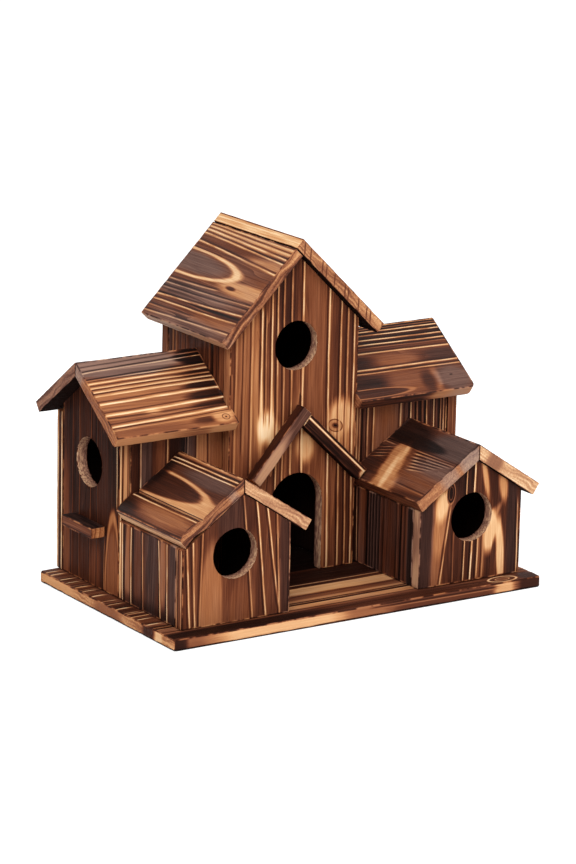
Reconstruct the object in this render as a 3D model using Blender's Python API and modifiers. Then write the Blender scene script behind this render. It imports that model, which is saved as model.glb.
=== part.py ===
"""Wooden birdhouse with six rooms: a gabled tower, two wings and two small front houses.

Metres, +X to the right, +Y to the back, +Z up. The origin is the centre of the base board's
underside. Every board is its own object and stops a small joint gap short of its neighbours.
"""
import math

import bmesh
import bpy
from mathutils import Vector

# Stock and joints
BOARD = 0.009
JOINT_GAP = 0.0003
EDGE_ROUND = 0.0006
EDGE_STEPS = 2
ARC_STEPS = 48

# Base board
BASE_WIDTH = 0.322
BASE_DEPTH = 0.194
BASE_THICKNESS = 0.009
BASE_CORNER_RADIUS = 0.003
BASE_EDGE_ROUND = 0.0012
LEFT_MARGIN = 0.0145
RIGHT_MARGIN = 0.0107

# Front houses
HOUSE_SETBACK = 0.0143
HOUSE_HEIGHT = 0.1057
LEFT_HOUSE_LAP = 0.0041
RIGHT_HOUSE_LAP = -0.0048
LEFT_RIDGE_SHIFT = 0.005
RIGHT_RIDGE_SHIFT = -0.004
LEFT_PITCH_OUTER = math.radians(35.7)
LEFT_PITCH_INNER = math.radians(33.3)
RIGHT_PITCH_OUTER = math.radians(33.3)
RIGHT_PITCH_INNER = math.radians(33.5)
LEFT_EAVE_OUTER = 0.0028
LEFT_EAVE_INNER = 0.0176
RIGHT_EAVE_OUTER = 0.0147
RIGHT_EAVE_INNER = 0.006
LEFT_ROOF_PROUD = 0.0005
RIGHT_ROOF_PROUD = 0.0027
RIGHT_ROOF_BOARD = 0.0103
GROOVE_FROM_EAVE = 0.022
GROOVE_WIDTH = 0.003
GROOVE_DEPTH = 0.0016
GROOVED_BOARD_CROWN = 0.0022
CROWN_STEPS = 8

# Wings
WING_EAVE_CLEARANCE = 0.0151
WING_RIDGE_SHIFT = -0.0042
WING_PITCH_FRONT = math.radians(35.2)
WING_PITCH_BACK = math.radians(35.9)
WING_EAVE_FRONT = 0.018
LEFT_WING_EXTRA_EAVE = 0.0023
WING_EAVE_BACK = 0.0087
LEFT_WING_OVERHANG = 0.0137
RIGHT_WING_OVERHANG = 0.0043
RIGHT_WING_PROUD = 0.0022
WANEY_CORNER_RADIUS = 0.0045
CORNER_STEPS = 5

# Perches under the wing holes
PERCH_LENGTH = 0.0436
PERCH_SHIFT = -0.0008
PERCH_REACH = 0.0122
PERCH_THICKNESS = 0.0085
PERCH_DROP = 0.0425

# Tower
TOWER_X = -0.0031
TOWER_WIDTH = 0.1127
TOWER_DEPTH = 0.1005
TOWER_RIDGE_SHIFT = 0.0011
TOWER_SIDE_SETBACK = 0.0026
TOWER_EAVE_CLEARANCE = 0.0087
TOWER_PITCH_LEFT = math.radians(45.3)
TOWER_PITCH_RIGHT = math.radians(44.0)
TOWER_EAVE_LEFT = 0.012
TOWER_EAVE_RIGHT = 0.0187
TOWER_ROOF_FRONT = 0.0067
TOWER_ROOF_BACK = 0.0074
DIVIDER_ABOVE_DOOR = 0.030

# Round holes and the arched door
HOLE_RADIUS = 0.0185
TOWER_HOLE_DROP = 0.0811
WING_HOLE_DROP = 0.0771
WING_HOLE_SHIFT = -0.0023
LEFT_HOLE_DROP = 0.0543
RIGHT_HOLE_DROP = 0.0558
LEFT_HOLE_SHIFT = 0.0017
RIGHT_HOLE_SHIFT = 0.0004
DOOR_WIDTH = 0.046
DOOR_HEIGHT = 0.078
DOOR_SHIFT = 0.0039

# Porch strips over the door
LEFT_STRIP_THICKNESS = 0.0095
RIGHT_STRIP_THICKNESS = 0.0107
STRIP_DEPTH = 0.0095
STRIP_LEFT_PITCH = math.radians(49.0)
STRIP_RIGHT_PITCH = math.radians(43.6)
STRIP_PEAK_SHIFT = -0.0012
STRIP_PEAK_ABOVE_DOOR = 0.0532
STRIP_STEP = 0.0006
STRIP_LEFT_CLEARANCE = 0.007
STRIP_RIGHT_CLEARANCE = 0.0008

# How far a cutter runs past the board that it cuts
CUT_MARGIN = 0.004

# Easing of sharp turns, and the small lengths under which mesh points are one
SMOOTH_OVER = math.radians(40)
BEVEL_OVER = math.radians(30)
FLAT_UNDER = math.radians(0.2)
SAME_POINT = 0.000001

# Planes that several pieces share
BASE_TOP = BASE_THICKNESS
WALL_FOOT = BASE_TOP + JOINT_GAP
FRONT_EDGE_Y = -BASE_DEPTH / 2
BACK_Y = BASE_DEPTH / 2
TOWER_FRONT_Y = BACK_Y - TOWER_DEPTH
WING_FRONT_Y = TOWER_FRONT_Y + BOARD + JOINT_GAP
INNER_BACK_Y = BACK_Y - BOARD - JOINT_GAP
TOWER_LEFT_X = TOWER_X - TOWER_WIDTH / 2
TOWER_RIGHT_X = TOWER_X + TOWER_WIDTH / 2
TOWER_RIDGE_X = TOWER_X + TOWER_RIDGE_SHIFT
TOWER_SIDE_LEFT_X = TOWER_LEFT_X + TOWER_SIDE_SETBACK
TOWER_SIDE_RIGHT_X = TOWER_RIGHT_X - TOWER_SIDE_SETBACK
LEFT_FACE_X = -BASE_WIDTH / 2 + LEFT_MARGIN
RIGHT_FACE_X = BASE_WIDTH / 2 - RIGHT_MARGIN
RIGHT_WING_FACE_X = RIGHT_FACE_X + RIGHT_WING_PROUD
HOUSE_FRONT_Y = FRONT_EDGE_Y + HOUSE_SETBACK
DOOR_X = TOWER_X + DOOR_SHIFT
DOOR_TOP = BASE_TOP + DOOR_HEIGHT

# Turns an outline drawn in X and Y so that it stands facing the front or the side
FACING_FRONT = (math.pi / 2, 0.0, 0.0)
FACING_SIDE = (math.pi / 2, 0.0, math.pi / 2)

WOOD_ROUGHNESS = 0.6
BURNT_BROWN = (0.16, 0.07, 0.035, 1.0)
WARM_BROWN = (0.30, 0.14, 0.065, 1.0)
GOLDEN_BROWN = (0.42, 0.21, 0.10, 1.0)


class GableRoof:
    """A pair of roof planes that meet at a ridge, seen in section across the ridge."""

    def __init__(self, ridge, ridge_z, low_pitch, high_pitch, board=BOARD):
        self.board = board
        self.ridge = ridge
        self.ridge_z = ridge_z
        self.low_pitch = low_pitch
        self.high_pitch = high_pitch

    def pitch(self, side):
        return self.high_pitch if side > 0 else self.low_pitch

    def outer(self, place):
        side = 1 if place > self.ridge else -1
        return self.ridge_z - abs(place - self.ridge) * math.tan(self.pitch(side))

    def under(self, place, clearance=JOINT_GAP):
        side = 1 if place > self.ridge else -1
        return self.outer(place) - (self.board + clearance) / math.cos(self.pitch(side))

    def peak_under(self):
        depth = self.board + JOINT_GAP
        low_drop = depth / math.cos(self.low_pitch)
        high_drop = depth / math.cos(self.high_pitch)
        spread = math.tan(self.low_pitch) + math.tan(self.high_pitch)
        shift = (low_drop - high_drop) / spread
        height = self.ridge_z - low_drop + shift * math.tan(self.low_pitch)
        return (self.ridge + shift, height)

    def eave_foot(self, side, eave):
        """The lowest corner of a board whose outer top corner is at the given eave."""
        pitch = self.pitch(side)
        drop = self.board * math.cos(pitch)
        return (eave - side * self.board * math.sin(pitch), self.outer(eave) - drop)


def down(pitch, side):
    """Unit step down a slope towards the given side."""
    return Vector((side * math.cos(pitch), -math.sin(pitch)))


def inward(pitch, side):
    """Unit step square to a slope, into the board."""
    return Vector((-side * math.sin(pitch), -math.cos(pitch)))


def make_collection(name):
    collection = bpy.data.collections.new(name)
    bpy.context.scene.collection.children.link(collection)
    return collection


def make_material(name, colour):
    material = bpy.data.materials.new(name)
    material.use_nodes = True
    shader = material.node_tree.nodes["Principled BSDF"]
    shader.inputs["Base Color"].default_value = colour
    shader.inputs["Roughness"].default_value = WOOD_ROUGHNESS
    shader.inputs["Metallic"].default_value = 0.0
    material.diffuse_color = colour
    return material


def finish_board(obj, group, colour, edge_round=EDGE_ROUND):
    """Give a board its colour, its eased edges and its place in the assembly."""
    obj.data.materials.clear()
    obj.data.materials.append(make_material(obj.name + "_wood", colour))
    bevel = obj.modifiers.new("eased_edges", "BEVEL")
    bevel.width = edge_round
    bevel.segments = EDGE_STEPS
    bevel.limit_method = "ANGLE"
    bevel.angle_limit = BEVEL_OVER
    PARTS.objects.link(obj)
    obj.parent = group
    obj.matrix_parent_inverse = group.matrix_world.inverted()
    return obj


def mesh_from_bmesh(name, shape):
    mesh = bpy.data.meshes.new(name)
    shape.to_mesh(mesh)
    shape.free()
    return mesh


def box_object(name, low, high):
    """A block between two corners, with its origin at its centre."""
    size = Vector(high) - Vector(low)
    shape = bmesh.new()
    bmesh.ops.create_cube(shape, size=1.0)
    bmesh.ops.scale(shape, vec=size, verts=shape.verts)
    obj = bpy.data.objects.new(name, mesh_from_bmesh(name, shape))
    obj.location = (Vector(high) + Vector(low)) / 2
    return obj


def outline_object(name, outline, thickness, location, rotation):
    """A flat outline extruded to a thickness, stood up by its rotation."""
    curve = bpy.data.curves.new(name + "_outline", "CURVE")
    curve.dimensions = "2D"
    curve.fill_mode = "BOTH"
    curve.extrude = thickness / 2
    spline = curve.splines.new("POLY")
    spline.points.add(len(outline) - 1)
    for point, place in zip(spline.points, outline):
        point.co = (place[0], place[1], 0.0, 1.0)
    spline.use_cyclic_u = True
    drawn = bpy.data.objects.new(name + "_drawn", curve)
    drawn.location = location
    drawn.rotation_euler = rotation
    bpy.context.scene.collection.objects.link(drawn)
    bpy.context.view_layer.update()
    evaluated = drawn.evaluated_get(bpy.context.evaluated_depsgraph_get())
    mesh = bpy.data.meshes.new_from_object(evaluated)
    mesh.name = name
    shape = bmesh.new()
    shape.from_mesh(mesh)
    bmesh.ops.remove_doubles(shape, verts=shape.verts, dist=SAME_POINT)
    bmesh.ops.dissolve_limit(shape, angle_limit=FLAT_UNDER, verts=shape.verts, edges=shape.edges)
    bmesh.ops.recalc_face_normals(shape, faces=shape.faces)
    shape.to_mesh(mesh)
    shape.free()
    obj = bpy.data.objects.new(name, mesh)
    obj.matrix_world = drawn.matrix_world.copy()
    bpy.data.objects.remove(drawn)
    return obj


def round_mesh_edges(obj, is_chosen, radius, steps):
    """Round the mesh edges that the test picks, in the object's own axes."""
    shape = bmesh.new()
    shape.from_mesh(obj.data)
    chosen = [edge for edge in shape.edges if is_chosen(edge)]
    bmesh.ops.bevel(shape, geom=chosen, offset=radius, segments=steps, profile=0.5, affect="EDGES")
    shape.to_mesh(obj.data)
    shape.free()


def half_round(centre, radius, steps):
    """Points of an arch head, from its right spring over to its left one."""
    points = []
    for step in range(steps + 1):
        angle = math.pi * step / steps
        points.append((centre[0] + radius * math.cos(angle), centre[1] + radius * math.sin(angle)))
    return points


def add_cutter(obj):
    CUTTERS.objects.link(obj)
    obj.hide_render = True
    obj.display_type = "WIRE"
    return obj


def cut(obj, cutter, name):
    saw = obj.modifiers.new(name, "BOOLEAN")
    saw.operation = "DIFFERENCE"
    saw.solver = "EXACT"
    saw.object = cutter


def hole_cutter(name, centre, length, rotation):
    """A round bar for a hole of the common radius."""
    shape = bmesh.new()
    bmesh.ops.create_cone(
        shape, cap_ends=True, segments=ARC_STEPS, radius1=HOLE_RADIUS, radius2=HOLE_RADIUS, depth=length
    )
    mesh = mesh_from_bmesh(name, shape)
    mesh.shade_smooth()
    mesh.set_sharp_from_angle(angle=SMOOTH_OVER)
    obj = bpy.data.objects.new(name, mesh)
    obj.location = centre
    obj.rotation_euler = rotation
    return add_cutter(obj)


def square_board(start, pitch, side, length, thickness):
    """A square-ended board in section, running down a slope from its outer top corner."""
    end = start + down(pitch, side) * length
    depth = inward(pitch, side) * thickness
    return [start, end, end + depth, start + depth]


def mitred_board(roof, side, eave):
    """One half of a roof whose boards meet at an upright joint in the ridge."""
    pitch = roof.pitch(side)
    joint = roof.ridge + side * JOINT_GAP / 2
    top = Vector((joint, roof.outer(joint)))
    end = Vector((eave, roof.outer(eave)))
    foot = end + inward(pitch, side) * roof.board
    bottom = Vector((joint, roof.under(joint, 0.0)))
    return [top, end, foot, bottom]


def butted_board(start, pitch, side, end_place, thickness, face):
    """A board whose top end is cut along its neighbour's face and whose lower end is square."""
    length = (end_place - start.x) / down(pitch, side).x
    outline = square_board(start, pitch, side, length, thickness)
    outline[3] = start + face * (thickness / face.dot(inward(pitch, side)))
    return outline


def grooved_board(roof, side, eave):
    """A mitred board with a groove along it and a crowned strip from there to the eave."""
    top, end, foot, bottom = mitred_board(roof, side, eave)
    pitch = roof.pitch(side)
    step = down(pitch, side)
    depth = inward(pitch, side)
    groove = end - step * GROOVE_FROM_EAVE
    half = step * GROOVE_WIDTH / 2
    outline = [top, groove - half, groove + depth * GROOVE_DEPTH]
    run = (end - groove - half).length
    for index in range(CROWN_STEPS + 1):
        part = index / CROWN_STEPS
        rise = GROOVED_BOARD_CROWN * math.sin(math.pi * part)
        outline.append(groove + half + step * run * part - depth * rise)
    for index in range(CROWN_STEPS + 1):
        part = index / CROWN_STEPS
        rise = GROOVED_BOARD_CROWN * math.sin(math.pi * part)
        outline.append(foot - step * GROOVE_FROM_EAVE * part - depth * rise)
    outline.append(bottom)
    return outline


def gable_outline(roof, low, high, low_eave, high_eave):
    """A wall board from the base up to its roof, never higher than the eaves' lowest corners."""
    outline = [(low, WALL_FOOT), (high, WALL_FOOT)]
    foot_place = roof.eave_foot(1, high_eave)[0]
    if foot_place < high:
        outline.append((high, roof.under(foot_place)))
        outline.append((foot_place, roof.under(foot_place)))
    else:
        outline.append((high, roof.under(high)))
    outline.append(roof.peak_under())
    foot_place = roof.eave_foot(-1, low_eave)[0]
    if foot_place > low:
        outline.append((foot_place, roof.under(foot_place)))
        outline.append((low, roof.under(foot_place)))
    else:
        outline.append((low, roof.under(low)))
    return outline


def wall_top(roof, face, side, eave):
    """The height of a square-topped wall under an eave."""
    foot_place = roof.eave_foot(side, eave)[0]
    if side * foot_place < side * face:
        return roof.under(foot_place)
    return roof.under(face)


def make_group(name, location):
    group = bpy.data.objects.new(name, None)
    group.location = location
    PARTS.objects.link(group)
    bpy.context.view_layer.update()
    return group


def build_base():
    group = make_group("ground", (0.0, 0.0, 0.0))
    low = (-BASE_WIDTH / 2, FRONT_EDGE_Y, 0.0)
    high = (BASE_WIDTH / 2, BACK_Y, BASE_THICKNESS)
    base = box_object("base_board", low, high)

    def is_corner(edge):
        return abs(edge.verts[0].co.z - edge.verts[1].co.z) > BASE_THICKNESS / 2

    round_mesh_edges(base, is_corner, BASE_CORNER_RADIUS, CORNER_STEPS)
    finish_board(base, group, WARM_BROWN, BASE_EDGE_ROUND)


def house_roof(side):
    """The roof planes of one front house, in X and Z."""
    if side < 0:
        outer_x = LEFT_FACE_X
        inner_x = TOWER_LEFT_X + LEFT_HOUSE_LAP
        ridge = (outer_x + inner_x) / 2 + LEFT_RIDGE_SHIFT
        return GableRoof(ridge, BASE_TOP + HOUSE_HEIGHT, LEFT_PITCH_OUTER, LEFT_PITCH_INNER)
    outer_x = RIGHT_FACE_X
    inner_x = TOWER_RIGHT_X - RIGHT_HOUSE_LAP
    ridge = (outer_x + inner_x) / 2 - RIGHT_RIDGE_SHIFT
    ridge_z = BASE_TOP + HOUSE_HEIGHT
    return GableRoof(ridge, ridge_z, RIGHT_PITCH_INNER, RIGHT_PITCH_OUTER, RIGHT_ROOF_BOARD)


def build_house(name, side, outer_x, inner_x, eaves, lap, proud, hole_shift, hole_drop, grooved):
    """A small gabled house that stands in front of a wing, open at its back."""
    group = make_group(name, (outer_x, HOUSE_FRONT_Y, BASE_TOP))
    roof = house_roof(side)
    outer_eave = outer_x + side * eaves[0]
    inner_eave = inner_x - side * eaves[1]
    low_x, high_x = sorted((outer_x, inner_x))
    low_eave, high_eave = sorted((outer_eave, inner_eave))

    outline = gable_outline(roof, low_x, high_x, low_eave, high_eave)
    place = (0.0, HOUSE_FRONT_Y + BOARD / 2, 0.0)
    front = outline_object(name + "_front_board", outline, BOARD, place, FACING_FRONT)
    finish_board(front, group, GOLDEN_BROWN)
    hole_x = (outer_x + inner_x) / 2 + side * hole_shift
    centre = (hole_x, place[1], roof.ridge_z - hole_drop)
    cut(front, hole_cutter(name + "_hole", centre, BOARD + CUT_MARGIN, FACING_FRONT), "entrance")

    wall_start = HOUSE_FRONT_Y + BOARD + JOINT_GAP
    outer_top = wall_top(roof, outer_x, side, outer_eave)
    xs = sorted((outer_x, outer_x - side * BOARD))
    low = (xs[0], wall_start, WALL_FOOT)
    high = (xs[1], WING_FRONT_Y - JOINT_GAP, outer_top)
    finish_board(box_object(name + "_outer_wall", low, high), group, BURNT_BROWN)

    stands_before_tower = lap > -JOINT_GAP
    inner_back = (TOWER_FRONT_Y if stands_before_tower else WING_FRONT_Y) - JOINT_GAP
    inner_top = wall_top(roof, inner_x, -side, inner_eave)
    xs = sorted((inner_x, inner_x + side * BOARD))
    low = (xs[0], wall_start, WALL_FOOT)
    high = (xs[1], inner_back, inner_top)
    finish_board(box_object(name + "_inner_wall", low, high), group, BURNT_BROWN)

    roof_front = HOUSE_FRONT_Y - proud
    roof_back = WING_FRONT_Y - JOINT_GAP
    place = (0.0, (roof_front + roof_back) / 2, 0.0)
    length = roof_back - roof_front
    section = grooved_board(roof, side, outer_eave) if grooved else mitred_board(roof, side, outer_eave)
    outer = outline_object(name + "_roof_outer", section, length, place, FACING_FRONT)
    finish_board(outer, group, WARM_BROWN)
    section = mitred_board(roof, -side, inner_eave)
    inner = outline_object(name + "_roof_inner", section, length, place, FACING_FRONT)
    finish_board(inner, group, WARM_BROWN)
    cut(inner, TOWER_NOTCH, "notch_round_tower_face")


def wing_roof():
    """The roof planes of both wings, in Y and Z."""
    ridge = (WING_FRONT_Y + BACK_Y) / 2 + WING_RIDGE_SHIFT
    run = ridge - (WING_FRONT_Y - WING_EAVE_FRONT)
    drop = run * math.tan(WING_PITCH_FRONT) + BOARD * math.cos(WING_PITCH_FRONT)
    ridge_z = BASE_TOP + HOUSE_HEIGHT + WING_EAVE_CLEARANCE + drop
    return GableRoof(ridge, ridge_z, WING_PITCH_FRONT, WING_PITCH_BACK)


def build_wing(name, side, face_x, tower_x, overhang, extra_eave, waney):
    """A room beside the tower, with its gable and round hole at the outer end."""
    group = make_group(name, (face_x, WING_FRONT_Y, BASE_TOP))
    roof = wing_roof()
    front_eave = WING_FRONT_Y - WING_EAVE_FRONT - extra_eave
    back_eave = BACK_Y + WING_EAVE_BACK

    outline = gable_outline(roof, WING_FRONT_Y, INNER_BACK_Y, front_eave, back_eave)
    place = (face_x - side * BOARD / 2, 0.0, 0.0)
    gable = outline_object(name + "_gable_wall", outline, BOARD, place, FACING_SIDE)
    finish_board(gable, group, BURNT_BROWN)
    hole_y = (WING_FRONT_Y + BACK_Y) / 2 + WING_HOLE_SHIFT
    centre = (place[0], hole_y, roof.ridge_z - WING_HOLE_DROP)
    cut(gable, hole_cutter(name + "_hole", centre, BOARD + CUT_MARGIN, FACING_SIDE), "entrance")

    inner_x = face_x - side * (BOARD + JOINT_GAP)
    tower_side = tower_x + side * JOINT_GAP
    xs = sorted((inner_x, tower_side))
    low = (xs[0], WING_FRONT_Y, WALL_FOOT)
    high = (xs[1], WING_FRONT_Y + BOARD, wall_top(roof, WING_FRONT_Y, -1, front_eave))
    finish_board(box_object(name + "_front_wall", low, high), group, WARM_BROWN)

    xs = sorted((face_x, tower_side))
    low = (xs[0], BACK_Y - BOARD, WALL_FOOT)
    high = (xs[1], BACK_Y, wall_top(roof, BACK_Y, 1, back_eave))
    finish_board(box_object(name + "_back_wall", low, high), group, WARM_BROWN)

    roof_end = face_x + side * overhang
    place = ((roof_end + tower_side) / 2, 0.0, 0.0)
    length = abs(roof_end - tower_side)
    section = mitred_board(roof, -1, front_eave)
    front_roof = outline_object(name + "_roof_front", section, length, place, FACING_SIDE)
    if waney:
        eave_top = roof.outer(front_eave)

        def is_eave_corner(edge):
            along = abs(edge.verts[0].co.z - edge.verts[1].co.z)
            highest = max(vert.co.y for vert in edge.verts)
            return along < JOINT_GAP and highest < eave_top + JOINT_GAP

        round_mesh_edges(front_roof, is_eave_corner, WANEY_CORNER_RADIUS, CORNER_STEPS)
    finish_board(front_roof, group, WARM_BROWN)
    cut(front_roof, TOWER_NOTCH, "notch_round_tower_face")
    section = mitred_board(roof, 1, back_eave)
    back_roof = outline_object(name + "_roof_back", section, length, place, FACING_SIDE)
    finish_board(back_roof, group, WARM_BROWN)

    xs = sorted((face_x + side * JOINT_GAP, face_x + side * PERCH_REACH))
    top = centre[2] - PERCH_DROP
    middle = roof.ridge + PERCH_SHIFT
    low = (xs[0], middle - PERCH_LENGTH / 2, top - PERCH_THICKNESS)
    high = (xs[1], middle + PERCH_LENGTH / 2, top)
    finish_board(box_object(name + "_perch", low, high), group, BURNT_BROWN)


def tower_roof():
    """The roof planes of the tower, in X and Z."""
    left_run = TOWER_RIDGE_X - TOWER_LEFT_X + TOWER_EAVE_LEFT
    right_run = TOWER_RIGHT_X - TOWER_RIDGE_X + TOWER_EAVE_RIGHT
    left_drop = left_run * math.tan(TOWER_PITCH_LEFT) + BOARD * math.cos(TOWER_PITCH_LEFT)
    right_drop = right_run * math.tan(TOWER_PITCH_RIGHT) + BOARD * math.cos(TOWER_PITCH_RIGHT)
    ridge_z = wing_roof().ridge_z + TOWER_EAVE_CLEARANCE + max(left_drop, right_drop)
    return GableRoof(TOWER_RIDGE_X, ridge_z, TOWER_PITCH_LEFT, TOWER_PITCH_RIGHT)


def build_tower():
    group = make_group("tower", (TOWER_X, TOWER_FRONT_Y, BASE_TOP))
    roof = tower_roof()
    left_eave = TOWER_LEFT_X - TOWER_EAVE_LEFT
    right_eave = TOWER_RIGHT_X + TOWER_EAVE_RIGHT
    outline = gable_outline(roof, TOWER_LEFT_X, TOWER_RIGHT_X, left_eave, right_eave)

    place = (0.0, TOWER_FRONT_Y + BOARD / 2, 0.0)
    front = outline_object("tower_front_board", outline, BOARD, place, FACING_FRONT)
    finish_board(front, group, GOLDEN_BROWN)
    centre = (roof.ridge, place[1], roof.ridge_z - TOWER_HOLE_DROP)
    cut(front, hole_cutter("tower_hole", centre, BOARD + CUT_MARGIN, FACING_FRONT), "entrance")
    cut(front, door_cutter(place), "door")

    outline = gable_outline(roof, TOWER_SIDE_LEFT_X, TOWER_SIDE_RIGHT_X, left_eave, right_eave)
    place = (0.0, BACK_Y - BOARD / 2, 0.0)
    back = outline_object("tower_back_board", outline, BOARD, place, FACING_FRONT)
    finish_board(back, group, WARM_BROWN)

    for name, side, face, eave in (
        ("tower_left_side", -1, TOWER_SIDE_LEFT_X, left_eave),
        ("tower_right_side", 1, TOWER_SIDE_RIGHT_X, right_eave),
    ):
        xs = sorted((face, face - side * BOARD))
        low = (xs[0], WING_FRONT_Y, WALL_FOOT)
        high = (xs[1], INNER_BACK_Y, wall_top(roof, face, side, eave))
        finish_board(box_object(name, low, high), group, WARM_BROWN)

    inset = BOARD + JOINT_GAP
    divider_z = DOOR_TOP + DIVIDER_ABOVE_DOOR
    low = (TOWER_SIDE_LEFT_X + inset, WING_FRONT_Y, divider_z)
    high = (TOWER_SIDE_RIGHT_X - inset, INNER_BACK_Y, divider_z + BOARD)
    finish_board(box_object("tower_floor", low, high), group, WARM_BROWN)

    build_tower_roof(group, roof, left_eave, right_eave)


def build_tower_roof(group, roof, left_eave, right_eave):
    """The right board runs up to the ridge and the left board butts under it."""
    front = TOWER_FRONT_Y - TOWER_ROOF_FRONT
    back = BACK_Y + TOWER_ROOF_BACK
    place = (0.0, (front + back) / 2, 0.0)
    ridge = Vector((roof.ridge, roof.ridge_z))
    run = (right_eave - roof.ridge) / math.cos(roof.high_pitch)
    section = square_board(ridge, roof.high_pitch, 1, run, BOARD)
    right = outline_object("tower_roof_right", section, back - front, place, FACING_FRONT)
    finish_board(right, group, WARM_BROWN)

    corner = section[3]
    start = corner + down(roof.low_pitch, -1) * JOINT_GAP
    face = down(roof.high_pitch, 1)
    section = butted_board(start, roof.low_pitch, -1, left_eave, BOARD, face)
    left = outline_object("tower_roof_left", section, back - front, place, FACING_FRONT)
    finish_board(left, group, WARM_BROWN)


def door_cutter(place):
    """An arch-headed opening that runs out through the foot of the board."""
    radius = DOOR_WIDTH / 2
    spring = (DOOR_X, DOOR_TOP - radius)
    outline = [(DOOR_X - radius, WALL_FOOT - CUT_MARGIN), (DOOR_X + radius, WALL_FOOT - CUT_MARGIN)]
    outline += half_round(spring, radius, ARC_STEPS // 2)
    cutter = outline_object("door_cut", outline, BOARD + CUT_MARGIN, place, FACING_FRONT)
    return add_cutter(cutter)


def strip_length(start, pitch, side, thickness, roof, clearance):
    """How far a porch strip runs before its lower corner is close above a house roof."""
    step = down(pitch, side)
    corner = start + inward(pitch, side) * thickness
    slope = math.tan(roof.pitch(-side))
    gap_at_start = corner.y - (roof.ridge_z - side * (roof.ridge - corner.x) * slope)
    closing = side * step.x * slope - step.y
    return (gap_at_start - clearance) / closing


def build_porch():
    """Two strips over the door: the left one has the peak and the right one butts under it."""
    group = make_group("porch", (DOOR_X, TOWER_FRONT_Y, DOOR_TOP))
    place = (0.0, TOWER_FRONT_Y - JOINT_GAP - STRIP_DEPTH / 2, 0.0)
    peak = Vector((DOOR_X + STRIP_PEAK_SHIFT, DOOR_TOP + STRIP_PEAK_ABOVE_DOOR))
    pitch = STRIP_LEFT_PITCH
    length = strip_length(peak, pitch, -1, LEFT_STRIP_THICKNESS, house_roof(-1), STRIP_LEFT_CLEARANCE)
    section = square_board(peak, pitch, -1, length, LEFT_STRIP_THICKNESS)
    left = outline_object("porch_left_strip", section, STRIP_DEPTH, place, FACING_FRONT)
    finish_board(left, group, GOLDEN_BROWN)

    face = down(pitch, -1)
    away = inward(pitch, -1)
    start = section[3] + face * STRIP_STEP + away * JOINT_GAP
    pitch = STRIP_RIGHT_PITCH
    length = strip_length(start, pitch, 1, RIGHT_STRIP_THICKNESS, house_roof(1), STRIP_RIGHT_CLEARANCE)
    end_x = start.x + length * math.cos(pitch)
    section = butted_board(start, pitch, 1, end_x, RIGHT_STRIP_THICKNESS, face)
    right = outline_object("porch_right_strip", section, STRIP_DEPTH, place, FACING_FRONT)
    finish_board(right, group, GOLDEN_BROWN)


def notch_cutter():
    """The room that the tower's front board needs in the roofs beside it."""
    low = (TOWER_LEFT_X - JOINT_GAP, TOWER_FRONT_Y - JOINT_GAP, BASE_TOP)
    high = (TOWER_RIGHT_X + JOINT_GAP, WING_FRONT_Y, wing_roof().ridge_z)
    return add_cutter(box_object("tower_face_notch", low, high))


for old_object in list(bpy.data.objects):
    bpy.data.objects.remove(old_object, do_unlink=True)

PARTS = make_collection("multi_hole_birdhouse")
CUTTERS = make_collection("cutters")
TOWER_NOTCH = notch_cutter()

build_base()
build_tower()
build_porch()
build_wing(
    "left_wing", -1, LEFT_FACE_X, TOWER_SIDE_LEFT_X, LEFT_WING_OVERHANG, LEFT_WING_EXTRA_EAVE, False
)
build_wing("right_wing", 1, RIGHT_WING_FACE_X, TOWER_SIDE_RIGHT_X, RIGHT_WING_OVERHANG, 0.0, True)
build_house(
    "left_house", -1, LEFT_FACE_X, TOWER_LEFT_X + LEFT_HOUSE_LAP, (LEFT_EAVE_OUTER, LEFT_EAVE_INNER),
    LEFT_HOUSE_LAP, LEFT_ROOF_PROUD, LEFT_HOLE_SHIFT, LEFT_HOLE_DROP, True,
)
build_house(
    "right_house", 1, RIGHT_FACE_X, TOWER_RIGHT_X - RIGHT_HOUSE_LAP, (RIGHT_EAVE_OUTER, RIGHT_EAVE_INNER),
    RIGHT_HOUSE_LAP, RIGHT_ROOF_PROUD, RIGHT_HOLE_SHIFT, RIGHT_HOLE_DROP, False,
)
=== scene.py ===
"""Looks of the multi-hole birdhouse: boards scorched with a flame, with pale raised grain lines."""

import math
import random

import bmesh
import bpy
import numpy as np
from mathutils import Matrix, Vector


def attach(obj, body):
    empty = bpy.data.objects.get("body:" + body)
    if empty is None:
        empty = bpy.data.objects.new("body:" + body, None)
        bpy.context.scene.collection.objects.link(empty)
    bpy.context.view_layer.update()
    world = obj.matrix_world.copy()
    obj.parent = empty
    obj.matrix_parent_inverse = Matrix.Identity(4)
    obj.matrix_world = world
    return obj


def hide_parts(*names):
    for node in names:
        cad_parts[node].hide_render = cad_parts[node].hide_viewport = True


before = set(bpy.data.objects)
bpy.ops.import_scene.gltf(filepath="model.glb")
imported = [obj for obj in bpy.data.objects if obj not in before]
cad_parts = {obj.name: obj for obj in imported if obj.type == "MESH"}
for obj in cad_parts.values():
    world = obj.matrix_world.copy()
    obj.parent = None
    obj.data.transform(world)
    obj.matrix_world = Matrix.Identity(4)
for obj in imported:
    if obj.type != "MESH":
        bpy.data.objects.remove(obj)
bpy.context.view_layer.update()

MM = 1000.0

# Camera, found by fitting the board edges in a 576 x 864 picture: angles in degrees, lengths in metres
IMAGE_HEIGHT = 864
FOCAL_PIXELS = 3567.1
SENSOR_HEIGHT = 36.0
CAMERA_AZIMUTH = -33.42
CAMERA_ELEVATION = 14.61
CAMERA_ROLL = 1.284
CAMERA_DISTANCE = 2.641
TARGET = (-0.001, -0.0013, 0.110)
TARGET_RIGHT = -0.004315
TARGET_UP = 0.0079
NEAREST_SEEN = 0.1
FARTHEST_SEEN = 20.0

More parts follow.
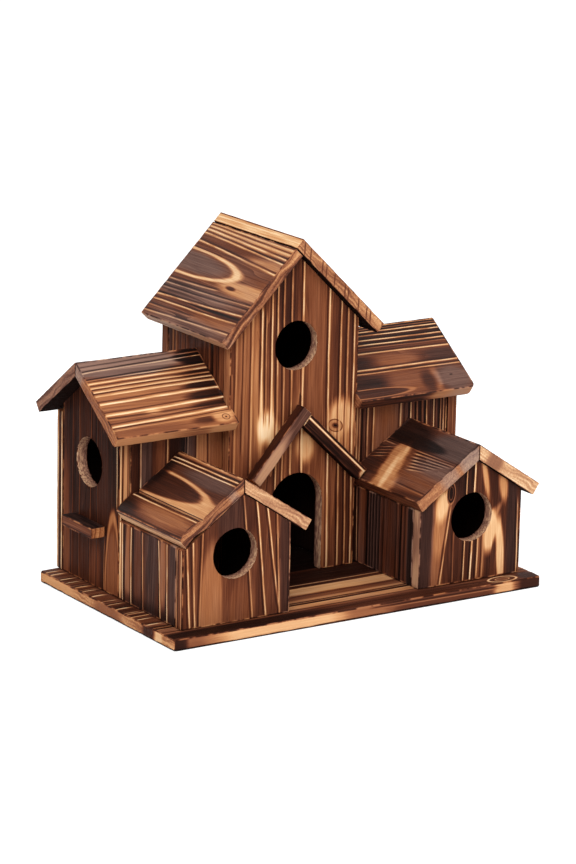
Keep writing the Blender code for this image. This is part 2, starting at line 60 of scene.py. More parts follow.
# Studio: lamps as (place, side, watts), and how brightly the floor and the sky glow, lengths in metres
LAMPS = {
    "key": ((-1.6, -1.9, 2.2), 1.6, 70.0),
    "fill": ((1.9, -1.8, 1.3), 1.8, 24.0),
}
LIGHT_TARGET = (0, 0, 0.12)
SKY_LIGHT = 0.55
FLOOR_GLOW = 0.55
FLOOR_COLOUR = (0.90, 0.90, 0.90, 1.0)
FLOOR_HALF = 6.0
FLOOR_DROP = 0.0002

# Cutting the dressed boards, in millimetres and radians
STEP_ALONG = 4.0
STEP_ACROSS = 0.8
STEP_DEEP = 1.5
CUT_TOLERANCE = 1e-4
WELD_DISTANCE = 0.01
FLAT_ANGLE = 0.01
SHARP_ANGLE = math.radians(40)

# Relief of the dressed boards: depths and bump sizes in millimetres, the rest as shares
RELIEF = 0.30
HOLLOW_SHARE = 0.75
STREAK_SIZE = (45.0, 1.3, 3.0)
RIDGE_SPREAD = 0.4
SIDE_RELIEF = 0.15
CRUMB_SIZE = (2.6, 2.6, 1.7)
EDGE_WEAR = 0.55
EVEN_SHARE = 0.15
DENT_SHARE = 0.6
DENT_SIZE = (11.0, 6.0, 5.0)
DENT_LEVELS = (0.45, 0.95)
NICK_SHARE = 0.35
NICK_SIZE = (4.5, 2.0, 2.0)
CREASE_LEVELS = (0.004, 0.03)

# How far a face turns, as a cosine to the board's own directions, before it counts as another kind
SAME_SIDE = 0.8
SAME_PLANE = 0.999
SIDE_TURN = (0.6, 0.85)
BACK_TURN = (0.3, 0.7)
WALL_TURN = (0.5, 0.3)
OUTWARD_TURN = (0.75, 0.95)
SIDEWAYS_TURN = (0.3, 0.6)

# Grain lines: the width of the dark side and of the fading ends in millimetres, and the form of the crest
SHADE_WIDTH = 0.9
FADE_OUTSIDE = 6.0
FADE_INSIDE = 4.0
LINE_CORE = 1.35
LINE_FALLOFF = 1.35

# Flames: how much they cover, and where their rims lie, as shares of the way from the middle out
FLAME_COVER = 0.88
RIM_PLACE = 1.02
RIM_FAINT = 0.16
RIM_FULL = 0.03
RIMMED_RAGGED = 0.15
PLAIN_RAGGED = 0.7

# Growth rings: width in millimetres, drift in rings, how unlike, sharp and dark they are, and bend at ends
RING_WIDTH = 5.2
RING_DRIFT = 9.0
RING_UNEVEN = 1.3
RING_PALE_POWER = 5.0
RING_DARK_POWER = 4.0
RING_DARK = 0.35
END_BEND = 14.0

# Wear, painted shade where the rooms stand, and torn wood with painted shade deep in the openings: widths
# in millimetres, faint to full, and shares
BORDER_WIDTH = (1.6, 0.5)
BORDER_WEAR = 0.7
ARRIS_WIDTH = (1.1, 0.3)
ARRIS_WEAR = 0.55
ROOM_SHADE_FRONT_SOFT = 4.0
ROOM_SHADE_SIDE_SOFT = 3.0
ROOM_SHADE_COVER = 0.88
TORN_DEPTH = 13.0
TORN_SHADE_DARKEST = 0.55
TORN_ASH = 0.6

# How far each speckle moves the tone between its lowest and its highest value
RAGGED_SWING = 0.6
BROAD_SWING = 0.24
STREAK_SWING = 0.15
STREAK_MIDDLE = 0.45
RING_SWING = 0.26
FINE_SWING = 0.11
EDGE_SWING = 0.22
FIBRE_SWING = 0.12
# Inner faces and roof undersides are painted near black as shade
INSIDE_SHADE_TONE = 0.03
INSIDE_SHADE_SWING = 0.10

# Gloss, and bumps too fine for the mesh, in metres and as shares
OILED_ROUGHNESS = 0.62
OILED_SWING = 0.15
BUMP_STRENGTH = 0.5
BUMP_DISTANCE = 0.0006
FINE_HEIGHT = 0.5
STREAK_HEIGHT = 0.6

# Tones of the scorched wood, from 0 for charred to 1 for bare cream grain, as (tone, brown, grey). The grey
# colours paint sheen on the wood, and give the real grey of torn wood in the openings.
# The colours are sRGB, 0 to 255.
TONES = (
    (0.00, (9, 4, 3), (9, 6, 6)),
    (0.12, (30, 13, 8), (31, 20, 18)),
    (0.25, (61, 29, 18), (60, 42, 38)),
    (0.38, (98, 50, 30), (92, 69, 62)),
    (0.50, (134, 77, 47), (126, 99, 89)),
    (0.62, (172, 109, 67), (160, 129, 112)),
    (0.74, (210, 150, 99), (196, 161, 133)),
    (0.86, (240, 196, 146), (226, 196, 164)),
    (1.00, (254, 232, 196), (250, 232, 206)),
)
# The brown colours, and the grey ones that paint sheen and colour the torn wood
BROWN = 1
GREY_AND_SHEEN = 2

# Waves that bend the grain, as (size mm, length along the grain mm, length across mm, phase)
GRAIN_WAVES = (
    (0.45, 47.0, 21.0, 0.4),
    (0.14, 17.0, -9.0, 1.9),
    (0.05, 5.1, 5.3, 3.7),
)

# Which way each kind of board faces: rough outward direction, and grain direction, None down the slope
FACINGS = {
    "front": ((0, -1, 0), (0, 0, 1)),
    "back": ((0, 1, 0), (0, 0, 1)),
    "left": ((-1, 0, 0), (0, 0, 1)),
    "right": ((1, 0, 0), (0, 0, 1)),
    "roof_front": ((0, -0.6, 0.8), (1, 0, 0)),
    "roof_back": ((0, 0.6, 0.8), (-1, 0, 0)),
    "roof_left": ((-0.6, 0, 0.8), (0, -1, 0)),
    "roof_right": ((0.6, 0, 0.8), (0, 1, 0)),
    "top": ((0, 0, 1), (1, 0, 0)),
    "perch_left": ((-1, 0, 0), (0, -1, 0)),
    "perch_right": ((1, 0, 0), (0, 1, 0)),
    "strip_left": ((-0.7, 0, 0.7), None),
    "strip_right": ((0.7, 0, 0.7), None),
}


# What a board has where its own settings say nothing else
USUAL_LOOK = {
    "contrast": 1.0, "end": 0.5, "end_contrast": 0.24, "edge_grey_and_sheen": 0.10, "end_ash": 0.10, "sheen": 0.04,
    "flames": (), "lines": (), "grey_sheen_patches": (), "edge_flames": (), "edge_lines": (), "end_flames": (),
    "openings": (), "room_shade": None,
}


def speckle(rate, detail=2.0, roughness=0.5, levels=()):
    """A noise: its rate per millimetre, and the levels that it is eased between, with what they become."""
    return {"rate": rate, "detail": detail, "roughness": roughness, "levels": levels}


# Rates are given along, across and into the board, and for the ends' two across, into and along it
SPECKLES = {
    "ragged": speckle((0.03, 0.4, 0.1), 3.0, 0.6),
    "broad": speckle((0.012, 0.09, 0.05)),
    "streaks": speckle((0.007, 0.26, 0.3), 3.0, 0.6, (0.30, 0.70)),
    "fine": speckle((0.03, 1.6, 1.1), 2.0, 0.6, (0.25, 0.75)),
    "fade": speckle((0.03, 0.16, 0.1), 3.0, 0.6, (0.30, 0.58, 0.60, 1.0)),
    "ring_drift": speckle((0.004, 0.05, 1.0)),
    "worn": speckle((0.07, 0.07, 0.07), 3.0, 0.6, (0.42, 0.58, 0.10, 0.72)),
    "edge": speckle((0.02, 0.3, 0.7), 3.0, 0.6, (0.3, 0.7)),
    "fibres": speckle((0.35, 0.7, 0.7), 4.0, 0.75, (0.32, 0.68)),
    "torn": speckle((0.16, 0.8, 0.8), 3.0, 0.7, (0.34, 0.66, 0.50, 0.84)),
    "ash": speckle((0.02, 0.10, 0.1), levels=(0.3, 0.7)),
    "end_bend": speckle((0.03, 0.05, 0.02)),
    "end_rings": speckle((0.015, 0.34, 0.05), 3.0, 0.6, (0.32, 0.68)),
}


def line(start, end, tone, rise=0.8, fall=3.2, reach=None, shade=0.5):
    """A grain line: its place across the board at both ends, its tone, its soft sides and its dark side."""
    return {"start": start, "end": end, "tone": tone, "rise": rise, "fall": fall, "reach": reach,
            "shade": shade}


def flame(u, v, half_u, half_v, tone, soft=0.5, turn=0.0, rim=0.0, ragged=None):
    """An oval field of another tone, as a flame leaves it, with a pale rim if it has one."""
    if ragged is None:
        ragged = RIMMED_RAGGED if rim else PLAIN_RAGGED
    return {"u": u, "v": v, "half_u": half_u, "half_v": half_v, "tone": tone, "soft": soft,
            "turn": turn, "rim": rim, "ragged": ragged}


def moved(board, u, v):
    """The same board settings with every flame and line moved along and across the grain."""
    made = dict(board)
    made["flames"] = [dict(one, u=one["u"] + u, v=one["v"] + v) for one in board["flames"]]
    made["lines"] = []
    for one in board["lines"]:
        reach = one["reach"] and (one["reach"][0] + u, one["reach"][1] + u)
        made["lines"].append(dict(one, start=one["start"] + v, end=one["end"] + v, reach=reach))
    return made


def grown_lines(seed, width, count, palest=0.85):
    """Grain lines of a board that the camera doesn't see, spread over its width."""
    draw = random.Random(seed)
    lean = draw.uniform(-3.0, 3.0)
    lines = []
    for index in range(count):
        place = width * (index + draw.uniform(0.2, 0.8)) / count
        lines.append(line(place, place + lean + draw.uniform(-0.8, 0.8), draw.uniform(0.50, palest),
                          draw.uniform(0.5, 0.9), draw.uniform(1.0, 3.0)))
    return lines


# Each board's grey settings paint sheen as a grey cast in its colour: overall, on the edges, on the ends
# and in patches.
TOWER_FRONT = {
    "facing": "front", "tone": 0.4, "ash": 0.05, "edge": 0.56, "contrast": 0.8,
    "flames": [
        flame(150, 14, 90, 12, 0.53, 0.6), flame(150, 23, 50, 2.5, 0.64, 0.6),
        flame(40, 16, 60, 14, 0.36, 0.6), flame(215, 50, 42, 10, 0.22), flame(150, 50, 40, 8, 0.36),
        flame(160, 75, 90, 9, 0.47, 0.4), flame(172, 100, 50, 11, 0.3, 0.4),
        flame(40, 85, 50, 4, 0.54, 0.4), flame(30, 102, 60, 8, 0.28), flame(122, 27, 30, 3, 0.8, 0.6),
        flame(122, 36, 26, 2.5, 0.76, 0.6), flame(116, 32, 14, 8, 0.97), flame(106, 40, 14, 7, 0.8, 0.6),
        flame(97, 67, 14, 9, 0.82, ragged=0.3), flame(114, 99, 18, 13.5, 0.82, 0.4, ragged=0.5),
        flame(94, 104, 12, 8, 0.62, 0.6), flame(110, 94, 4.4, 6.6, 0.64, 0.3, turn=20.0, rim=0.42),
        flame(110, 94, 2.2, 3.4, 0.34, 0.35, turn=20.0, ragged=0.1),
        flame(110, 94, 0.9, 1.6, 0.04, 0.4, turn=20.0, ragged=0.1), flame(30, 60, 60, 8, 0.3, 0.6),
    ],
    "lines": [
        line(5, 5, 0.66, 0.7, 1.8), line(12, 12, 0.6, 0.6, 1.5, reach=(100, 190)),
        line(18.5, 18.5, 0.72, 0.6, 2.0), line(27, 27, 0.87, 0.7, 2.0, reach=(126, 206)),
        line(31, 31, 0.66, 0.5, 1.2, reach=(120, 200)), line(36, 36, 0.87, 0.6, 1.6, reach=(118, 216)),
        line(41, 41, 0.78, 0.6, 1.6), line(46.5, 46.5, 0.68, 0.6, 1.6), line(53.5, 53.5, 0.74, 0.6, 1.6),
        line(63.5, 63.5, 0.85, 0.7, 1.8), line(88, 86, 0.85, 0.7, 1.8), line(97.5, 97, 0.76, 0.6, 1.8),
        line(104, 103, 0.72, 0.6, 1.6), line(109.6, 108.6, 0.86, 0.6, 1.6),
    ],
}
TOWER_LEFT = {
    "facing": "left", "tone": 0.3, "ash": 0.05, "edge": 0.4, "contrast": 0.6,
    "flames": [flame(150, 20, 90, 6, 0.4), flame(150, 76, 120, 7, 0.44), flame(150, 59, 120, 4, 0.14)],
    "lines": [
        line(3.5, 3.5, 0.62), line(8, 8, 0.56), line(16, 16, 0.42), line(23, 23, 0.44),
        line(55, 55, 0.5), line(62, 62, 0.38), line(70, 70, 0.46), line(78, 78, 0.72, 0.6, 0.8),
    ],
}
TOWER_ROOF_LEFT = {
    "facing": "roof_left", "tone": 0.38, "ash": 0.25, "edge": 0.66, "edge_grey_and_sheen": 0.4, "end": 0.51,
    "end_ash": 0.1, "sheen": 0.1, "contrast": 0.8, "end_contrast": 0.4,
    "flames": [
        flame(60, 5, 110, 7, 0.68), flame(40, 17, 80, 4, 0.38, 0.6), flame(100, 20, 34, 4, 0.68, 0.6),
        flame(98, 46, 42, 7, 0.74, 0.35), flame(0, 37, 74, 11, 0.42, 0.2, rim=0.84),
        flame(78, 47, 7, 1.8, 0.22), flame(100, 79, 44, 7, 0.54, 0.6), flame(10, 60, 50, 5, 0.32, 0.6),
        flame(60, 68.5, 90, 1.6, 0.08, 0.7),
    ],
    "grey_sheen_patches": [flame(0, 37, 62, 9, 0.75, 0.3), flame(40, 60, 70, 8, 0.7), flame(60, 86, 60, 8, 0.6)],
    "lines": [
        line(2, 3, 0.81, 0.6, 1.6), line(4.5, 7, 0.82, 0.6, 1.8), line(7.5, 11.5, 0.86, 0.6, 1.8),
        line(11, 15.5, 0.84, 0.6, 1.6), line(18.5, 25, 0.84, 0.6, 1.8),
        line(25.5, 30, 0.8, 0.5, 1.2, reach=(0, 40)), line(55, 49.5, 0.72, 0.5, 1.3, reach=(0, 64)),
        line(59, 55.5, 0.66, 0.5, 1.2), line(63, 59.5, 0.58, 0.5, 1.2), line(69.5, 64.5, 0.86, 0.6, 1.8),
        line(74, 72, 0.81, 0.6, 1.6), line(80, 77.5, 0.6, 0.5, 1.2, reach=(0, 60)),
        line(85, 82, 0.76, 0.5, 1.5),
    ],
}
TOWER_ROOF_RIGHT = {
    "facing": "roof_right", "tone": 0.3, "ash": 0.35, "edge": 0.82, "end": 0.6, "edge_grey_and_sheen": 0.0,
    "end_ash": 0.15, "end_contrast": 0.3,
    "end_flames": [
        flame(6 + 9.5 * step + 3 * math.sin(4.0 * step), 4.5, 6.5, 0.7, 0.36, 0.6, turn=50.0, ragged=0.3)
        for step in range(11)
    ],
    "edge_lines": [line(0.9, 0.9, 0.3, 0.5, 0.8, shade=0.0)],
    "flames": [flame(20, 50, 60, 14, 0.5), flame(90, 20, 50, 9, 0.22)],
    "lines": grown_lines(11, 98, 13),
}
LEFT_WING_ROOF = {
    "facing": "roof_front", "tone": 0.56, "ash": 0.05, "edge": 0.57, "end": 0.54, "end_ash": 0.0,
    "contrast": 0.3, "sheen": 0.12,
    "edge_flames": [flame(20, 4.5, 40, 12, 0.68), flame(92, 4.5, 16, 12, 0.7)],
    "flames": [
        flame(30, 5, 75, 7, 0.52, 0.4), flame(30, 15.5, 75, 4, 0.42, 0.4), flame(30, 58, 60, 4, 0.48),
        flame(100, 8, 21, 9, 0.03, 0.25), flame(100, 25, 28, 6, 0.16),
        flame(100, 35.5, 29, 3.6, 0.1, 0.3), flame(100, 45, 30, 5, 0.13, 0.3),
        flame(100, 54.5, 30, 4.5, 0.18, 0.4), flame(77, 68, 12, 4, 0.28, 0.6),
        flame(40, 54, 8, 2.5, 0.8, 0.7), flame(93, 66.5, 10, 6.5, 0.76, 0.4),
        flame(95, 67.5, 3.0, 2.5, 0.7, 0.2, rim=0.34), flame(95, 67.5, 0.9, 0.7, 0.2, 0.4, ragged=0.1),
        flame(30, 70, 44, 5, 0.46, 0.6),
    ],
    "grey_sheen_patches": [flame(36, 8, 54, 12, 0.85, 0.25)],
    "lines": [
        line(8, 4, 0.56, 1.2, 0.6), line(12, 7.5, 0.8, 0.8, 0.6, shade=0.8),
        line(20, 16, 0.82, 0.9, 0.6, shade=0.8), line(22.7, 19.9, 0.89, 1.6, 0.9),
        line(27, 24.5, 0.86, 1.6, 0.6), line(31, 28, 0.84, 2.0, 0.6), line(34.8, 31.6, 0.87, 2.0, 0.6),
        line(42.7, 39, 0.92, 2.2, 0.8), line(53.3, 49.3, 0.92, 2.4, 0.8), line(57.5, 56, 0.62, 1.2, 0.6),
        line(64.3, 58.8, 0.91, 2.4, 0.8), line(67.5, 63.5, 0.66, 1.4, 0.6),
    ],
}
RIGHT_WING_ROOF = {
    "facing": "roof_front", "tone": 0.34, "ash": 0.1, "edge": 0.26, "end": 0.5, "sheen": 0.12,
    "contrast": 0.6,
    "edge_flames": [flame(94, 4.5, 32, 12, 0.7, 0.3)],
    "flames": [
        flame(60, 10, 70, 12, 0.16, 0.3), flame(46, 36, 26, 7, 0.5), flame(8, 36, 22, 7, 0.18, 0.6),
        flame(90, 36, 22, 7, 0.26), flame(14, 60, 24, 13, 0.14, 0.6), flame(46, 58, 22, 12, 0.46),
        flame(71, 60, 5, 14, 0.56, turn=12.0), flame(64, 60, 7, 11, 0.24, 0.6, turn=12.0),
        flame(90, 62, 15, 14, 0.42, 0.3, turn=12.0, ragged=0.2),
        flame(9, 65.5, 36, 4.2, 0.26, 0.2, rim=0.58), flame(86, 57, 1.6, 0.8, 0.16, 0.6),
    ],
    "grey_sheen_patches": [flame(92, 60, 17, 14, 0.75, 0.4, turn=12.0), flame(94, 36, 16, 7, 0.4)],
    "lines": [
        line(1.4, 1.4, 0.9, 0.7, 1.0), line(4, 4, 0.66, 0.5, 0.8), line(6.4, 6.4, 0.91, 0.8, 1.1),
        line(10, 10, 0.9, 0.8, 1.1), line(14.7, 14.7, 0.86, 0.8, 1.4), line(19.2, 19.2, 0.91, 0.8, 1.2),
        line(22.5, 22.5, 0.56, 0.5, 0.8), line(27.3, 27.3, 0.81, 0.8, 1.4),
        line(42.8, 42, 0.86, 0.8, 1.6), line(46.3, 46.3, 0.76, 0.7, 1.1),
    ],
}
LEFT_GABLE = {
    "facing": "left", "tone": 0.18, "ash": 0.0, "edge": 0.6, "contrast": 0.35, "sheen": 0.02,
    "edge_flames": [flame(80, 6.2, 120, 2.4, 0.72, 0.3, ragged=0.1)],
    "edge_lines": [
        line(1.3, 1.3, 0.88, 0.4, 0.6), line(2.9, 2.9, 0.05, 0.6, 0.9, shade=0.0),
        line(8.7, 8.7, 0.2, 0.5, 0.5),
    ],
    "flames": [
        flame(10, 30, 50, 34, 0.27, 0.7), flame(0, 70, 58, 10, 0.5, 0.25, rim=0.6),
        flame(18, 46, 24, 8, 0.4, 0.7), flame(20, 1, 75, 8, 0.44, 0.4), flame(66, 52, 18, 10, 0.24, 0.7),
    ],
    "lines": [
        line(11, 12, 0.36, 0.6, 1.4), line(22, 21, 0.44, 0.5, 1.0), line(37, 38, 0.44, 0.5, 1.0),
        line(58, 58, 0.56, 0.5, 0.9, reach=(0, 38)), line(48, 47, 0.3, 0.6, 1.2),
        line(75.6, 75.6, 0.92, 0.5, 0.9, reach=(68, 150)),
        line(77.6, 77.6, 0.05, 0.6, 0.7, reach=(68, 150), shade=0.0),
        line(79.4, 79.4, 0.88, 0.5, 0.8, reach=(68, 150)),
    ],
}
LEFT_WING_FRONT = {
    "facing": "front", "tone": 0.32, "ash": 0.1, "edge": 0.6, "contrast": 0.3,
    "flames": [
        flame(90, 1, 90, 2, 0.4, 0.4), flame(90, 6.2, 90, 2.6, 0.8, 0.3), flame(90, 14, 90, 4, 0.2),
        flame(100, 20.5, 50, 2.5, 0.34), flame(100, 35, 60, 4.5, 0.4), flame(100, 48, 60, 7, 0.13, 0.3),
        flame(110, 61, 60, 5, 0.36, 0.3), flame(110, 70, 60, 5, 0.62, 0.3), flame(110, 82, 60, 9, 0.55),
    ],
    "grey_sheen_patches": [flame(90, 13.5, 90, 5, 0.7, 0.4), flame(90, 47.5, 90, 7, 0.7, 0.4)],
    "lines": [
        line(1.6, 1.6, 0.76, 0.5, 0.8), line(3.2, 3.2, 0.08), line(9.6, 9.6, 0.3),
        line(18.5, 18, 0.8, 0.5, 1.2), line(40, 40, 0.78, 0.5, 1.2), line(55, 55, 0.56, 0.4, 0.8),
        line(56, 56, 0.08, 0.4, 0.4), line(57.4, 57.4, 0.64, 0.4, 0.8), line(65.3, 65.3, 0.7, 0.3, 1.2),
        line(76, 76, 0.6, 0.5, 1.2),
    ],
}
RIGHT_WING_FRONT = {
    "facing": "front", "tone": 0.34, "ash": 0.25, "edge": 0.6, "contrast": 0.6,
    "flames": [
        flame(95, 32, 90, 13, 0.46, 0.25), flame(90, 1, 90, 2.5, 0.84, 0.3), flame(90, 60, 90, 3, 0.14),
    ],
    "lines": [
        line(3.2, 3.2, 0.12, 0.4, 0.4), line(4.8, 4.8, 0.74), line(7.4, 7.4, 0.84, 0.5, 1.0),
        line(9.5, 9.5, 0.06, 0.6, 0.6), line(11, 11, 0.5), line(12.5, 12.5, 0.06, 0.5, 0.5),
        line(14.2, 14, 0.72, 0.6, 1.4), line(19, 19.4, 0.78, 0.6, 1.2), line(44, 44, 0.76, 0.7, 1.6),
        line(49, 49, 0.66, 0.5, 1.0), line(51, 51, 0.12), line(53.5, 53.5, 0.84, 0.6, 1.2),
        line(59.5, 59.5, 0.6, 0.6, 1.4), line(62.4, 62.4, 0.08, 0.6, 0.6, shade=0.0),
        line(64.6, 64.6, 0.7, 0.6, 1.2), line(66.6, 66.6, 0.1), line(68.4, 68.4, 0.84, 0.6, 1.3),
        line(72, 72, 0.08, 0.8, 0.8, shade=0.0), line(75.2, 75.2, 0.8, 0.6, 1.2),
        line(77.6, 77.6, 0.66, 0.4, 0.8), line(79.4, 79.4, 0.12), line(81.6, 81.6, 0.66, 0.5, 0.9),
        line(84.4, 84.4, 0.84, 0.6, 1.0), line(87, 87, 0.82, 0.5, 0.9), line(89.5, 89.5, 0.78, 0.5, 0.8),
        line(92, 92, 0.8, 0.5, 0.8),
    ],
}
LEFT_HOUSE_OUTER = {
    "facing": "left", "tone": 0.27, "ash": 0.25, "edge": 0.5, "contrast": 0.4,
    "flames": [
        flame(30, 2.6, 60, 3.6, 0.78, 0.3), flame(34, 13.5, 60, 4.4, 0.57, 0.3, ragged=1.4),
        flame(30, 27, 60, 6, 0.36), flame(44, 61.5, 40, 5, 0.56, 0.3), flame(0, 45, 9, 60, 0.14, 0.8),
    ],
    "grey_sheen_patches": [flame(36, 45, 50, 8, 0.6, 0.4), flame(36, 74, 50, 5, 0.7, 0.4)],
    "lines": [
        line(1.2, 1.2, 0.88), line(6.0, 5.2, 0.94, 0.9, 0.6), line(8, 8, 0.08, 1.0, 1.0, shade=0.0),
        line(18.2, 17.6, 0.88, 1.3, 0.6), line(20.6, 20.4, 0.03, 1.0, 1.0, shade=0.0),
        line(34.6, 32.8, 0.74, 0.8, 1.2), line(58.5, 54.5, 0.82, 0.8, 1.2),
        line(67.5, 66, 0.88, 0.7, 1.4), line(84.5, 81.5, 0.96, 0.8, 2.4),
        line(88.0, 86.0, 0.96, 0.9, 1.5),
    ],
}
LEFT_HOUSE_FRONT = {
    "facing": "front", "tone": 0.36, "ash": 0.1, "edge": 0.4, "contrast": 0.5,
    "edge_lines": [line(1.8, 1.8, 0.8, 0.6, 1.2), line(7.4, 7.4, 0.74, 0.6, 1.2)],
    "flames": [
        flame(76, 44, 26, 22, 0.27, 0.4), flame(8, 25, 56, 10, 0.6, 0.2, ragged=0.2),
        flame(8, 50, 26, 16, 0.44, 0.6), flame(50, 87, 80, 5, 0.24, 0.4), flame(30, 66, 50, 4, 0.3),
    ],
    "grey_sheen_patches": [flame(50, 87, 80, 6, 0.35, 0.4), flame(80, 40, 20, 12, 0.4)],
    "lines": [
        line(7, 2.2, 0.82, 0.7, 1.5), line(11.5, 7.5, 0.82, 0.7, 1.5), line(15.5, 17.5, 0.66, 0.7, 1.0),
        line(59.5, 50, 0.7, 0.6, 1.2), line(70.5, 60.5, 0.87, 0.7, 1.5),
        line(82, 68.5, 0.85, 0.7, 1.4, reach=(8, 84)), line(82, 78, 0.72, 0.6, 1.2),
        line(90.3, 90.3, 0.74, 0.7, 0.8),
    ],
}
LEFT_HOUSE_ROOF = {
    "facing": "roof_left", "tone": 0.3, "ash": 0.1, "edge": 0.7, "end": 0.44, "contrast": 0.4,
    "sheen": 0.12, "edge_grey_and_sheen": 0.4, "end_contrast": 0.5,
    "edge_lines": [line(1.0, 1.0, 0.8, 0.3, 0.5), line(3.0, 2.4, 0.14, 0.7, 1.6, shade=0.0)],
    "flames": [
        flame(62, 14, 42, 5, 0.36), flame(86, 37, 66, 9.5, 0.76, 0.25, ragged=0.25),
        flame(-4, 30.5, 80, 11, 0.22, 0.18, rim=0.74), flame(50, 43.5, 70, 2.4, 0.78, 0.4),
        flame(56, 54, 50, 8, 0.58, 0.6), flame(0, 58, 22, 9, 0.1, 0.6), flame(0, 20, 12, 22, 0.08, 0.6),
    ],
    "grey_sheen_patches": [flame(60, 14, 40, 6, 0.7, 0.4)],
    "lines": [
        line(0.9, 0.7, 0.82), line(6.2, 5.4, 0.9, 0.8, 1.2), line(9.4, 8.8, 0.87, 0.8, 1.0),
        line(45.0, 44.6, 0.04, 0.5, 0.9, shade=0.0), line(47.6, 46.8, 0.88, 0.7, 1.4),
        line(64.6, 64.6, 0.72),
    ],
}
RIGHT_HOUSE_ROOF = {
    "facing": "roof_left", "tone": 0.37, "ash": 0.3, "edge": 0.36, "end": 0.585, "contrast": 0.5,
    "sheen": 0.12, "end_contrast": 0.1, "end_ash": 0.1,
    "flames": [
        flame(70, 12, 40, 13, 0.34, 0.4), flame(12, 12, 36, 13, 0.1, 0.4),
        flame(78, 46, 40, 14, 0.44, 0.4), flame(4, 50, 22, 24, 0.2, 0.6), flame(84, 64, 34, 4, 0.26),
        flame(41, 62, 14, 14, 0.68, 0.35, turn=68.0, ragged=0.4),
        flame(33, 47, 16, 11, 0.7, 0.3, turn=68.0, ragged=0.4),
        flame(27, 33, 14, 10, 0.66, 0.3, turn=68.0, ragged=0.4),
        flame(36, 52, 24, 3.5, 0.84, 0.6, turn=68.0, ragged=0.4),
        flame(31, 30, 14, 2.5, 0.78, 0.6, turn=68.0, ragged=0.4),
        flame(30, 18, 40, 6, 0.08, 0.2, ragged=0.2),
    ],
    "grey_sheen_patches": [
        flame(74, 12, 34, 12, 0.95, 0.3), flame(80, 34, 34, 9, 0.7),
        flame(32, 46, 30, 16, 0.0, 0.3, turn=68.0),
    ],
    "lines": [
        line(24.0, 24.0, 0.02, 0.9, 0.9, reach=(0, 40), shade=0.0),
        line(26, 24.6, 0.62, 0.5, 0.9, reach=(42, 92)), line(27, 27, 0.74, 0.5, 1.0, reach=(2, 13)),
    ] + [
        line(25.5 + 4.2 * step, 24.1 + 2.1 * step, 0.62, 0.5, 0.9, (45 + 2 * step, 95 - 5 * step))
        for step in range(1, 7)
    ] + [
        line(26.3 + 4.2 * step, 23.4 + 2.1 * step, 0.84, 0.5, 1.1, (41 + 1.8 * step, 45 + 1.8 * step), 0.8)
        for step in range(1, 7)
    ] + [
        line(31 + 3.5 * step, -1.2 + 3.5 * step, 0.62, 0.5, 1.2, (5, 12 + step)) for step in range(1, 5)
    ] + [
        line(56, 59, 0.56, 0.5, 1.2, reach=(56, 90)),
    ],
}
RIGHT_HOUSE_FRONT = {
    "facing": "front", "tone": 0.28, "ash": 0.1, "edge": 0.6, "edge_grey_and_sheen": 0.85, "contrast": 0.5,
    "edge_flames": [
        flame(66, 4.5, 16, 5, 0.72, 0.7), flame(36, 4.5, 12, 4, 0.54, 0.7),
        flame(6, 4.5, 18, 5, 0.72, 0.7),
    ],
    "flames": [
        flame(50, 5, 80, 7, 0.22, 0.4), flame(8, 16.5, 50, 5.6, 0.54, 0.35),
        flame(44, 19, 24, 7, 0.64, 0.4, turn=5.0), flame(62, 20, 14, 7.5, 0.86, turn=8.0),
        flame(30, 34, 44, 4, 0.26), flame(80, 40, 18, 10, 0.16, 0.4), flame(26, 47, 40, 7, 0.24, 0.4),
        flame(20, 56, 40, 3.5, 0.46, 0.4), flame(35, 65, 18, 8, 0.88, 0.4, turn=10.0, ragged=0.5),
        flame(46, 64, 14, 4, 0.84, 0.45, turn=40.0, ragged=0.3),
        flame(16, 74, 30, 3.8, 0.86, 0.3, turn=-3.0, ragged=0.3),
        flame(14, 67, 18, 2.4, 0.28, 0.4, turn=6.0, ragged=0.3), flame(70, 75, 14, 4.5, 0.74, turn=-6.0),
        flame(80, 58, 20, 2.6, 0.78, turn=-10.0), flame(74, 66, 26, 4, 0.22, turn=-8.0),
        flame(50, 84, 70, 5, 0.2, 0.4), flame(70, 27.5, 8, 3.6, 0.08, 0.2, rim=0.54),
        flame(70, 27.5, 5, 1.8, 0.1, 0.2, rim=0.4),
    ],
    "grey_sheen_patches": [flame(50, 5, 80, 8, 0.5, 0.4), flame(40, 84, 70, 5, 0.5, 0.4)],
    "lines": [
        line(19.5, 32, 0.78, 0.6, 1.2, reach=(0, 58)), line(31, 31, 0.52, 0.6, 1.0, reach=(0, 40)),
        line(40.5, 41.5, 0.8, 0.6, 1.0), line(46.8, 48.6, 0.91, 0.8, 1.6),
        line(52.5, 53, 0.78, 0.8, 1.6, reach=(0, 34)), line(57.5, 57.5, 0.66, 0.6, 1.4, reach=(0, 34)),
        line(89, 89, 0.84, 0.8, 0.8, reach=(0, 56)),
    ],
}
RIGHT_HOUSE_INNER = {
    "facing": "left", "tone": 0.27, "ash": 0.4, "edge": 0.5, "contrast": 0.4,
    "flames": [
        flame(30, 14, 70, 4.5, 0.4, 0.3), flame(30, 29, 70, 9, 0.2, 0.4), flame(30, 50, 70, 8, 0.29),
        flame(30, 75, 70, 3.5, 0.11, 0.4),
    ],
    "grey_sheen_patches": [flame(30, 29, 70, 9, 0.7, 0.4), flame(30, 75, 70, 4, 0.9, 0.4)],
    "lines": [
        line(7, 5, 0.74, 0.7, 0.9), line(9.5, 9, 0.42), line(19, 19, 0.05),
    ] + [
        line(place, place, 0.38, 0.5, 0.8, shade=0.7) for place in (22, 25.5, 29, 33, 37)
    ] + [
        line(42, 42, 0.32), line(59, 58.5, 0.4), line(62, 62, 0.08), line(65, 65, 0.38, 1.0, 1.2),
        line(69.5, 69.5, 0.36),
    ],
}
